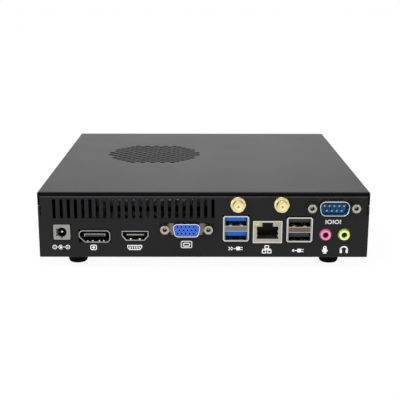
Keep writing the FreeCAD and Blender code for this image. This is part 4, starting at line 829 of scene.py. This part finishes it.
class DressInside(bpy.types.Operator):
    """Finish the board, the cooler and what else shows through the vents"""

    bl_idname = "computer.dress_inside"
    bl_label = "Inside"

    def execute(self, context):
        metal = context.scene.plating
        mask = solder_mask("board_lacquer", (0.004, 0.022, 0.013), (0.62, 0.42, 0.2))
        dress(mask, "motherboard", "memory_module", "drive", "radio")
        dress(solder_mask("carrier_lacquer", (0.01, 0.07, 0.03), (0.6, 0.6, 0.58)), "processor")
        dress(plated("aluminium_fins", metal.aluminium, 1.2 * metal.gloss, MARKS_ACROSS, 0.1), "cooler")
        brass = plated("brass_bar", metal.brass, metal.gloss, MARKS_ROUND_PILLAR, 0.1)
        dress(brass, "board_pillars", "card_posts")
        dress(finish_named("zinc_plate"), "board_screws", "cooler_screws", "coin_cell")
        black = finish_named("black_plastic")
        dress(black, "memory_socket", "drive_socket", "radio_socket", "cell_holder", "power_switch")
        dress(moulded("pressed_powder", (0.07, 0.07, 0.075), 0.5, 1600), "chokes")
        dress(moulded("tan_casing", (0.34, 0.2, 0.06), 0.4), "capacitors")
        return {"FINISHED"}


class PrintMarks(bpy.types.Operator):
    """Screen-print a plain sign under each socket"""

    bl_idname = "computer.print_marks"
    bl_label = "Printed marks"

    def execute(self, context):
        ink = context.scene.print_ink
        thickness = ink.thickness / MM
        groups = []
        for sign, node, step, level in SIGNS:
            across = middle(node).x + step
            for loops in sign(ink.stroke / MM):
                groups.append([[(across + u, level + v) for u, v in loop] for loop in loops])
        mesh = plate("printed_marks", groups, thickness)
        gap = 0.004
        place = at(0, REAR - thickness / 2 - gap, UNDERSIDE)
        add_piece(mesh, place, finish_named("white_ink"))
        return {"FINISHED"}


class FitInlet(bpy.types.Operator):
    """Finish the power inlet, with painted shade deep in its bore and dark bars painted as shade for its contact
    slots
    """

    bl_idname = "computer.fit_inlet"
    bl_label = "Power inlet"

    def execute(self, context):
        resin = context.scene.plastics
        low, high = corners_of("inlet_housing")
        centre = middle("inlet_pin")
        tip, base = (corner.y - REAR for corner in corners_of("inlet_pin"))
        face = at(centre.x, REAR, centre.z)
        width, depth, height = high.x - low.x, high.y - REAR, 2 * (high.z - centre.z)
        outside = ((0.28, 0), (0.12, -0.1), (0.05, -0.4), (0.05, -depth))
        inside = ((2.75, -depth), (2.75, -0.25), (2.95, 0))
        walls = [
            (rounded(width - 2 * inset, height - 2 * inset, 0.6, steps=11), level) for inset, level in outside
        ]
        body = sleeve("body", walls + [(disc(radius, steps=48), level) for radius, level in inside])
        floor = lathe("floor", [(0, -depth), (2.8, -depth), (2.8, -base), (0, -base)])
        # Painted shade: the plastic turns near black deeper than 0.35 mm behind the panel's face, inside the
        # bore.
        plastic = moulded("inlet_moulding", resin.inlet, resin.gloss, painted_shade_behind=(REAR + 0.35, resin.shade))
        block = joined("inlet_block", body, floor)
        add_piece(block, face, plastic, stands_for="inlet_housing")
        profile = [(0, -base), (1.0, -base), (1.0, -tip - 0.75), (0.72, -tip - 0.2), (0.5, -tip), (0, -tip)]
        pin = lathe("inlet_pin_turned", profile, 32)
        add_piece(pin, face, finish_named("tin_plate"), stands_for="inlet_pin")
        # Painted shade: thin black bars laid on the face stand for the dark contact slots at the edge of the
        # bore.
        shade_bars = [[bar(1.6, 0.95, -2.5, level)] for level in (-1.6, 0, 1.6)] + [[bar(0.9, 0.9, 0, -3.0)]]
        mesh = plate("inlet_shade_bars", shade_bars, 0.1)
        add_piece(mesh, ahead(face, 0.052), finish_named("black_plastic"))
        return {"FINISHED"}


class FitFlatSockets(bpy.types.Operator):
    """Finish the two flat display sockets, their contacts and their springs"""

    bl_idname = "computer.fit_flat_sockets"
    bl_label = "Flat display sockets"

    def execute(self, context):
        metal, resin = context.scene.plating, context.scene.plastics
        shell = plated("socket_shell_metal", times(metal.steel, 0.62), metal.gloss, MARKS_ALONG, 0.2)
        dress(shell, "display_shell", "video_shell")
        dress(finish_named("black_plastic"), "display_tongue", "video_tongue")
        # Painted highlight: pale strips on the tongues' ends stand for light caught by their front edges.
        painted_highlight = moulded("tongue_edge", resin.tongue, 0.4)
        self.edge("display", painted_highlight, band_along([(-5.9, -0.25), (-5.9, 1.2), (5.9, 1.2), (5.9, 0.2)], 0.3))
        self.edge("video", painted_highlight, bar(9.6, 0.42, 0, 0.35))
        self.contacts("display", count=12, thickness=1.7, rise=0.5)
        self.contacts("video", count=10, thickness=1.1, rise=0.3)
        self.springs("display", 1.1, (-4.2, -1.2, 2.6, 5.2))
        self.springs("video", 1.7, (-2.6, 2.6))
        return {"FINISHED"}

    @staticmethod
    def edge(name, finish, outline):
        """A pale strip on the end of a tongue, a painted highlight where its front edge catches light."""
        centre, tip = middle(f"{name}_shell"), corners_of(f"{name}_tongue")[0].y
        mesh = plate(f"{name}_tongue_edge", [[outline]], 0.12)
        add_piece(mesh, at(centre.x, tip - 0.065, centre.z), finish)

    @staticmethod
    def contacts(name, count, thickness, rise):
        """Rows of contacts under and over a tongue; rise is the tongue's height over the middle."""
        centre, tip = middle(f"{name}_shell"), corners_of(f"{name}_tongue")[0].y
        pitch, width, gauge, length = 0.95, 0.5, 0.14, 7
        places = [pitch * (step - (count - 1) / 2) for step in range(count)]
        levels = [rise + face * (thickness / 2 + 0.05) for face in (-1, 1)]
        rows = [[bar(width, gauge, place, level)] for level in levels for place in places]
        spot = at(centre.x, tip + length / 2 + 0.5, centre.z)
        add_piece(plate(f"{name}_contact_rows", rows, length), spot, finish_named("zinc_plate"))

    @staticmethod
    def springs(name, size, places):
        """Domes pressed in the floor of a shell, at places to the right of its middle."""
        low, centre = corners_of(f"{name}_shell")[0], middle(f"{name}_shell")
        dome = [(0, -0.3), (size / 2, -0.3), (size / 2, 0.1), (0.42 * size, 0.36), (0.25 * size, 0.5), (0, 0.54)]
        mesh = lathe(f"{name}_springs", dome, 20, [(centre.x + place, low.y + 1.9) for place in places])
        add_piece(mesh, at(0, 0, low.z + 0.45, Matrix()), finish_named("tin_plate"))


class FitDSockets(bpy.types.Operator):
    """Finish the two D-shaped connectors, their pins and their jackscrews"""

    bl_idname = "computer.fit_d_sockets"
    bl_label = "D-shaped connectors"

    def execute(self, context):
        metal, resin = context.scene.plating, context.scene.plastics
        # Painted shade: the insert turns near black from 3 mm before the rear panel's face inwards.
        deep = (REAR - 3.0, resin.shade)
        blue = moulded("monitor_plastic", resin.monitor, resin.gloss, gleam=0.3, painted_shade_behind=deep)
        dress(blue, "monitor_insert")
        dress(moulded("serial_plastic", resin.serial, resin.gloss, gleam=0.2), "serial_insert")
        dress(plated("pin_metal", metal.pins, metal.gloss, MARKS_ROUND_BARREL), "serial_pins")
        drawn = plated("drawn_shell_metal", metal.steel, 0.45 * metal.gloss, wear=0.05)
        # Partly painted shade: a tan passivated tone, made dark where the flange lies in the panel's cut-out.
        passivated_and_shade = plated("passivated_flange", metal.passivated_and_shade, metal.gloss, wear=0.15)
        # Painted shade: the deep-set flange of the nine-way connector is painted near black.
        painted_shade = plated("shaded_flange", metal.painted_shade, metal.gloss, wear=0.15)
        nickel = finish_named("nickel_plate")
        # Dark threads in the mouths of the jackscrews.
        thread = plated("oiled_thread", metal.thread, 0.5, NO_MARKS, 0.2)
        # Width, height, corner and wall of the skirt; its offset; the top of the flange and its finish, which is
        # darkened as painted shade.
        connectors = (
            ("monitor", (16.4, 7.9, 2.3, 0.55), (0, -0.12), 2.6, passivated_and_shade),
            ("serial", (18.2, 8.6, 3.2, 0.42), (0.3, -0.2), 4.6, painted_shade),
        )
        for name, sizes, offset, top, plain in connectors:
            self.shell(name, sizes, offset, top, drawn, plain)
            self.jackscrews(name, nickel, thread)
        return {"FINISHED"}

    @staticmethod
    def shell(name, sizes, offset, top, drawn, plain):
        """A drawn skirt with a rolled mouth, and the flange that it stands on."""
        width, height, corner, wall = sizes
        low, high = corners_of(f"{name}_shell")
        centre = middle(f"{name}_shell")
        reach, back = REAR - low.y, REAR - high.y
        gauge = 1.2
        # The share of the wall from its outside, and the level, round the skirt's section.
        section = (
            (0, back - 0.3), (0, reach - 0.2), (0.14, reach - 0.06), (0.4, reach), (0.64, reach),
            (0.88, reach - 0.08), (1, reach - 0.25), (1, back - 0.3),
        )

        def mouth(inset):
            outline = d_outline(width, height, inset, corner)
            return [(across + offset[0], along + offset[1]) for across, along in outline]

        place = at(centre.x, REAR, centre.z)
        mesh = sleeve(f"{name}_skirt", [(mouth(share * wall), level) for share, level in section])
        add_piece(mesh, place, drawn, stands_for=f"{name}_shell")
        ear = JACKSCREW_SPACING / 2 + 1.7
        right = [(10.1, -4.5), (10.5, -2.3), (ear, -2.3), (ear, 2.3), (10.5, 2.3), (10.1, top)]
        outer = right + [(-across, along) for across, along in right[::-1]]
        holes = [disc(1.4, hand * JACKSCREW_SPACING / 2) for hand in (-1, 1)]
        # The flange's finish is darkened as painted shade, where it lies deep in the panel's cut-out.
        mesh = plate(f"{name}_flange", [[outer, mouth(0.1), *holes]], -gauge - back)
        add_piece(mesh, ahead(place, (back - gauge) / 2), plain)

    @staticmethod
    def jackscrews(name, nickel, thread):
        """Hexagonal heads with turned corners, their shanks and the thread in their mouths."""
        node = f"{name}_jackscrews"
        centre, low = middle(node), corners_of(node)[0]
        head, bore = 5.2, 1.25
        shank = size_of(node).y - head
        spots = [(hand * JACKSCREW_SPACING / 2, 0) for hand in (-1, 1)]
        place = at(centre.x, low.y + head, centre.z)
        mesh = hexagonal_nut(f"{name}_jack_heads", 4.9, 2.58, head, bore, 4.4, spots)
        add_piece(mesh, place, nickel, stands_for=node)
        profile = [(0, -shank), (1.1, -shank), (1.25, 0.3 - shank), (1.25, 0.2), (0, 0.2)]
        mesh = lathe(f"{name}_jack_shanks", profile, 24, spots)
        add_piece(mesh, place, nickel)
        ridge, groove, first, step = 1.0, 1.22, head - 0.35, 0.22
        turns = [(ridge if turn % 2 else groove, first - step * turn) for turn in range(16, -1, -1)]
        profile = [(bore + 0.05, turns[0][1]), *turns, (bore + 0.05, first)]
        mesh = lathe(f"{name}_jack_threads", profile, 24, spots, closed=True)
        add_piece(mesh, place, thread)


class FitStackedSockets(bpy.types.Operator):
    """Finish the stacked sockets with their springs and the strip between the mouths"""

    bl_idname = "computer.fit_stacked_sockets"
    bl_label = "Stacked sockets"

    def execute(self, context):
        metal, resin = context.scene.plating, context.scene.plastics
        tin = finish_named("tin_plate")
        dress(tin, "fast_shell", "plain_shell")
        dress(moulded("fast_plastic", resin.fast, 0.8 * resin.gloss, gleam=0.25), "fast_tongues")
        dress(finish_named("black_plastic"), "plain_tongues")
        dress(finish_named("gold_plate"), "fast_contacts", "plain_contacts")
        rim = plated("rim_metal", times(metal.steel, 0.5), 0.34, NO_MARKS, 0.14)
        for name, tint in (("fast", metal.fast_strip), ("plain", metal.plain_strip)):
            low, centre = corners_of(f"{name}_shell")[0], middle(f"{name}_shell")
            width, _, height = size_of(f"{name}_shell")
            face = at(centre.x, low.y, centre.z)
            waist, border_width, cut = 1.78, 0.85, 0.9
            tall = height / 2 - border_width - waist
            mouths = [rounded(width - 2.3, tall, 0.25, 0, hand * (waist + tall / 2)) for hand in (-1, 1)]
            outline = cut_corners(width, height, cut)
            mesh = plate(f"{name}_rim", [[outline, *mouths]], 0.1)
            add_piece(mesh, ahead(face, 0.055), rim)
            mesh = plate(f"{name}_rim_edge", [[outline, cut_corners(width - 0.8, height - 0.8, 0.7)]], 0.1)
            add_piece(mesh, ahead(face, 0.13), tin)
            mesh = plate(f"{name}_strip", [[rounded(width - 2.4, 2.5, 0.25)]], 0.06)
            strip = plated(f"{name}_strip_metal", tint, 0.5, MARKS_UPRIGHT, 0.16)
            add_piece(mesh, ahead(face, 0.14), strip)
            leaf = (1.7, 0.2)
            floors = (1.82, 0.57 - height / 2)
            roots = [(across, floor, 0, 1) for floor in floors for across in (-3.1, 3.1)]
            mesh = leaf_springs(f"{name}_springs", leaf, roots, (-1.0, -7.0), 0.75, 1.5, 12)
            add_piece(mesh, face, tin)
        return {"FINISHED"}


class FitNetworkSocket(bpy.types.Operator):
    """Finish the network socket, its windows and its side springs"""

    bl_idname = "computer.fit_network_socket"
    bl_label = "Network socket"

    def execute(self, context):
        metal = context.scene.plating
        tin = finish_named("tin_plate")
        dress(plated("network_shield_metal", metal.shield, 1.1 * metal.gloss, wear=0.14), "lan_shield")
        dress(finish_named("black_plastic"), "lan_insert")
        dress(finish_named("gold_plate"), "lan_contacts")
        dress(finish_named("lime_window"), "lan_light_left")
        dress(finish_named("green_window"), "lan_light_right")
        low, centre = corners_of("lan_shield")[0], middle("lan_shield")
        width, _, height = size_of("lan_shield")
        mesh = plate("lan_rim_edge", [[bar(width, height), bar(width - 0.8, height - 0.8)]], 0.06)
        add_piece(mesh, at(centre.x, low.y - 0.04, centre.z), tin)
        leaf, side = (0.16, 1.4), 6.1
        roots = [(hand * side, level, -hand, 0) for hand in (-1, 1) for level in (1.6, 4.4)]
        mesh = leaf_springs("lan_side_springs", leaf, roots, (-0.7, -7.2), 0.7, 1.3, 10)
        add_piece(mesh, at(centre.x, low.y, corners_of("lan_contacts")[0].z), tin)
        return {"FINISHED"}


class FitSoundSockets(bpy.types.Operator):
    """Turn the collars of the microphone and headphone sockets"""

    bl_idname = "computer.fit_sound_sockets"
    bl_label = "Sound sockets"

    def execute(self, context):
        resin = context.scene.plastics
        rows = (
            ("mic_socket", "microphone_plastic", resin.microphone, "pink_plastic"),
            ("headphone_socket", "headphone_plastic", resin.headphone, "lime_plastic"),
        )
        for node, finish_name, tint, slot in rows:
            # Painted shade: the plastic from 0.3 mm before the panel's face inwards turns to 0.4 of its colour.
            deep = (REAR - 0.3, times(tint, 0.4))
            finish = moulded(finish_name, tint, resin.gloss, painted_shade_behind=deep)
            self.turn(node, finish, slot)
        return {"FINISHED"}

    @staticmethod
    def turn(node, finish, slot):
        """A collar with a rolled lip, the body behind the panel and the floor of the bore."""
        low, high = corners_of(node)
        width, _, height = size_of(node)
        outer, bore, gauge, headroom = 3.35, 1.75, 1.2, 4.4
        reach = REAR - low.y
        depth = high.y - REAR - gauge
        profile = [(bore, -gauge)]
        profile += [(bore + 0.3 - 0.3 * math.cos(turn), reach - 0.3 + 0.3 * math.sin(turn)) for turn in QUARTER]
        crest = (outer - 0.75, reach - 0.35)
        profile += [(crest[0] + 0.35 * math.sin(turn), crest[1] + 0.35 * math.cos(turn)) for turn in QUARTER]
        profile += [(outer - 0.3, 0.25), (outer, 0.05), (outer, -gauge)]
        body = plate("body", [[rounded(width, height, 0.4, 0, headroom - height / 2), disc(bore)]], depth)
        body.transform(ahead(Matrix(), -gauge - depth / 2))
        back, floor_level = -depth - gauge, reach - 12
        floor = [(0, back), (bore + 0.1, back), (bore + 0.1, floor_level), (0, floor_level)]
        mesh = joined(f"{node}_turned", lathe("collar", profile, closed=True), body, lathe("floor", floor, 24))
        place = at(middle(node).x, REAR, high.z - headroom)
        add_piece(mesh, place, finish, stands_for=node)


class FitAntennaSockets(bpy.types.Operator):
    """Thread the antenna sockets and shape their nuts"""

    bl_idname = "computer.fit_antenna_sockets"
    bl_label = "Antenna sockets"

    def execute(self, context):
        gold = finish_named("gold_plate")
        resin = context.scene.plastics
        dress(gold, "antenna_jack_left", "antenna_jack_right")
        dress(moulded("cream_plastic", resin.cream, resin.gloss), "antenna_insulators")
        level = middle("antenna_nuts").z
        sides = {hand: middle(f"antenna_jack_{hand}").x for hand in ("left", "right")}
        spots = [(side, 0) for side in sides.values()]
        height, bore, corner = 2.4, 2.95, 4.3
        nuts = hexagonal_nut("nuts", 8.0, corner, height, bore, height, spots)
        rim = [(3.0, 0), (corner, 0), (4.38, 0.12), (4.38, 0.75), (4.2, 0.95), (3.0, 0.95)]
        mesh = joined("shaped_nuts", nuts, lathe("washers", rim, 64, spots, closed=True))
        add_piece(mesh, at(0, REAR, level), gold, stands_for="antenna_nuts")
        for hand, side in sides.items():
            mesh = thread_ridge(f"antenna_thread_{hand}", 3.17, 0.09, 0.6, 3.1)
            add_piece(mesh, at(side, REAR - 2.95, level), gold)
        face = corners_of("antenna_insulators")[0].y
        pin = [(0, -2.4), (0.46, -2.4), (0.46, -0.3), (0.3, 0), (0.18, 0), (0.14, -1.2), (0, -1.2)]
        add_piece(lathe("centre_contacts", pin, 20, spots), at(0, face, level), gold)
        return {"FINISHED"}


class FitCoverScrews(bpy.types.Operator):
    """Shape the countersunk cover screws with their cross recess"""

    bl_idname = "computer.fit_cover_screws"
    bl_label = "Cover screws"

    def execute(self, context):
        side = corners_of("cover_screws")[1].x
        centre = middle("cover_screws")
        half, tip, recess, radius, row_spacing = 0.42, 1.5, 0.5, 2.42, 120
        arms = [(half, half), (half, tip), (-half, tip), (-half, half), (-tip, half), (-tip, -half)]
        cross = arms + [(-across, -along) for across, along in arms]
        stem = [(0, -4.75), (1.4, -4.75), (1.4, -0.75), (1.75, -0.75), (radius, -0.25), (0, -0.25)]
        parts = []
        for hand in (-1, 1):
            turn = Matrix.Rotation(hand * math.pi / 2, 4, "Y")
            for row in (-1, 1):
                place = at(hand * (side - recess / 2), centre.y + row * row_spacing / 2, centre.z, turn)
                for part in (plate("face", [[disc(radius, steps=48), cross]], recess), lathe("stem", stem)):
                    part.transform(place)
                    parts.append(part)
        mesh = joined("cross_head_screws", *parts)
        add_piece(mesh, Matrix(), finish_named("zinc_plate"), stands_for="cover_screws")
        return {"FINISHED"}


class FitFrontControls(bpy.types.Operator):
    """Finish the power button and the light pipes"""

    bl_idname = "computer.fit_front_controls"
    bl_label = "Front controls"

    def execute(self, context):
        resin = context.scene.plastics
        dress(finish_named("clear_plastic"), "light_pipes")
        centre, (width, deep, _) = middle("power_button"), size_of("power_button")
        front = corners_of("power_button")[1].y
        back, gauge, stem_side = 2.6, 1.0, 3
        dish = [
            (0, -back), (4.0, -back), (4.0, -0.35), (3.9, -0.1),
            (3.65, 0), (3.4, -0.05), (3.15, -0.2), (0, -0.2),
        ]
        flange = plate("flange", [[rounded(width, width, 0.3)]], gauge)
        flange.transform(ahead(Matrix(), -back))
        stem = plate("stem", [[rounded(stem_side, stem_side, 0.3)]], deep - back - 0.2)
        stem.transform(ahead(Matrix(), -(deep + back + 0.2) / 2))
        place = at(centre.x, front, centre.z, Matrix.Rotation(math.radians(-90), 4, "X"))
        cap = joined("button_cap", lathe("dish", dish, 64), flange, stem)
        finish = moulded("button_moulding", resin.button, 0.35)
        add_piece(cap, place, finish, body="button", stands_for="power_button")
        stroke = 0.36
        sign = plate("button_sign", [[arch(1.9, stroke, 120, 420)], [bar(stroke, 1.7, 0, -1.35)]], 0.05)
        add_piece(sign, ahead(place, -0.17), finish_named("white_ink"), body="button")
        return {"FINISHED"}


class BuildStage(bpy.types.Operator):
    """Lay the floor and set the light and the camera"""

    bl_idname = "computer.build_stage"
    bl_label = "Stage"

    def execute(self, context):
        scene = context.scene
        studio = scene.studio
        self.floor(scene, studio)
        self.sky(scene, studio)
        self.lamp(scene, "key_light", studio.key, 1.1, (-0.35, -0.35, 1.25))
        self.lamp(scene, "back_light", studio.back, 0.8, (0.0, 1.2, 0.75))
        self.lamp(scene, "side_light", studio.side, 0.6, (-0.85, -0.75, 0.3))
        self.camera(scene)
        return {"FINISHED"}

    @staticmethod
    def seen(shade):
        """One on rays from the camera and in reflections."""
        camera, glossy = (
            shade.node("ShaderNodeLightPath", output=output) for output in ("Is Camera Ray", "Is Glossy Ray")
        )
        return camera.most(glossy)

    def floor(self, scene, studio):
        """A large pale floor that shows a little of the shadow on it."""
        work = bmesh.new()
        bmesh.ops.create_grid(work, x_segments=8, y_segments=8, size=4)
        mesh = bpy.data.meshes.new("floor")
        work.to_mesh(mesh)
        work.free()
        floor = bpy.data.objects.new("floor", mesh)
        scene.collection.objects.link(floor)
        floor.location.z = -0.0002
        shade = Shader(bpy.data.materials.new("pale_floor"))
        matt = shade.node("ShaderNodeBsdfDiffuse", {}, {"Color": (*studio.floor, 1), "Roughness": 0.5})
        bright = shade.node("ShaderNodeEmission", {}, {"Color": (1, 1, 1, 1), "Strength": studio.backdrop})
        share = self.seen(shade) * (1 - studio.shadow)
        mixed = shade.node("ShaderNodeMixShader", {}, {0: share, 1: matt, 2: bright})
        shade.node("ShaderNodeOutputMaterial", {}, {"Surface": mixed})
        mesh.materials.append(shade.owner)

    def sky(self, scene, studio):
        """Even light from all round, and a white backdrop where it is seen."""
        scene.world = scene.world or bpy.data.worlds.new("studio")
        shade = Shader(scene.world)
        fill, white = (
            shade.node("ShaderNodeBackground", {}, {"Color": (1, 1, 1, 1), "Strength": strength})
            for strength in (studio.level, studio.backdrop)
        )
        mixed = shade.node("ShaderNodeMixShader", {}, {0: self.seen(shade), 1: fill, 2: white})
        shade.node("ShaderNodeOutputWorld", {}, {"Surface": mixed})

    @staticmethod
    def lamp(scene, name, power, size, place):
        """A square lamp that points at the object."""
        data = bpy.data.lights.new(name, "AREA")
        data.energy = power
        data.size = size
        lamp = bpy.data.objects.new(name, data)
        lamp.location = place
        lamp.rotation_euler = (-Vector(place)).to_track_quat("-Z", "Y").to_euler()
        scene.collection.objects.link(lamp)

    @staticmethod
    def camera(scene):
        data = bpy.data.cameras.new("camera")
        data.lens = 74.94
        data.sensor_width = 36
        camera = bpy.data.objects.new("camera", data)
        camera.location = (-0.0041, -0.55215, 0.1608)
        camera.rotation_euler = [math.radians(angle) for angle in (75.33, -0.12, -0.21)]
        scene.collection.objects.link(camera)
        scene.camera = camera
        scene.view_settings.view_transform = "Standard"


STEPS = (
    DressCase, MakeFeet, DressInside, PrintMarks, FitInlet, FitFlatSockets, FitDSockets, FitStackedSockets,
    FitNetworkSocket, FitSoundSockets, FitAntennaSockets, FitCoverScrews, FitFrontControls, BuildStage,
)


class ComputerPanel(bpy.types.Panel):
    """Sizes, colours and steps of the computer"""

    bl_idname = "VIEW3D_PT_computer"
    bl_label = "Thin industrial computer"
    bl_space_type = "VIEW_3D"
    bl_region_type = "UI"
    bl_category = "Computer"

    def draw(self, context):
        layout = self.layout
        for name, group in GROUPS.items():
            section = layout.box()
            section.label(text=name.replace("_", " ").capitalize())
            for entry in group.__annotations__:
                section.prop(getattr(context.scene, name), entry)
        for step in STEPS:
            layout.operator(step.bl_idname)


def register():
    for group in (*GROUPS.values(), *STEPS, ComputerPanel):
        bpy.utils.register_class(group)
    for name, group in GROUPS.items():
        setattr(bpy.types.Scene, name, PointerProperty(type=group))


def unregister():
    for name in GROUPS:
        delattr(bpy.types.Scene, name)
    for group in (ComputerPanel, *reversed(STEPS), *GROUPS.values()):
        bpy.utils.unregister_class(group)


def main():
    register()
    for step in STEPS:
        family, action = step.bl_idname.split(".")
        getattr(getattr(bpy.ops, family), action)()


if __name__ == "__main__":
    main()
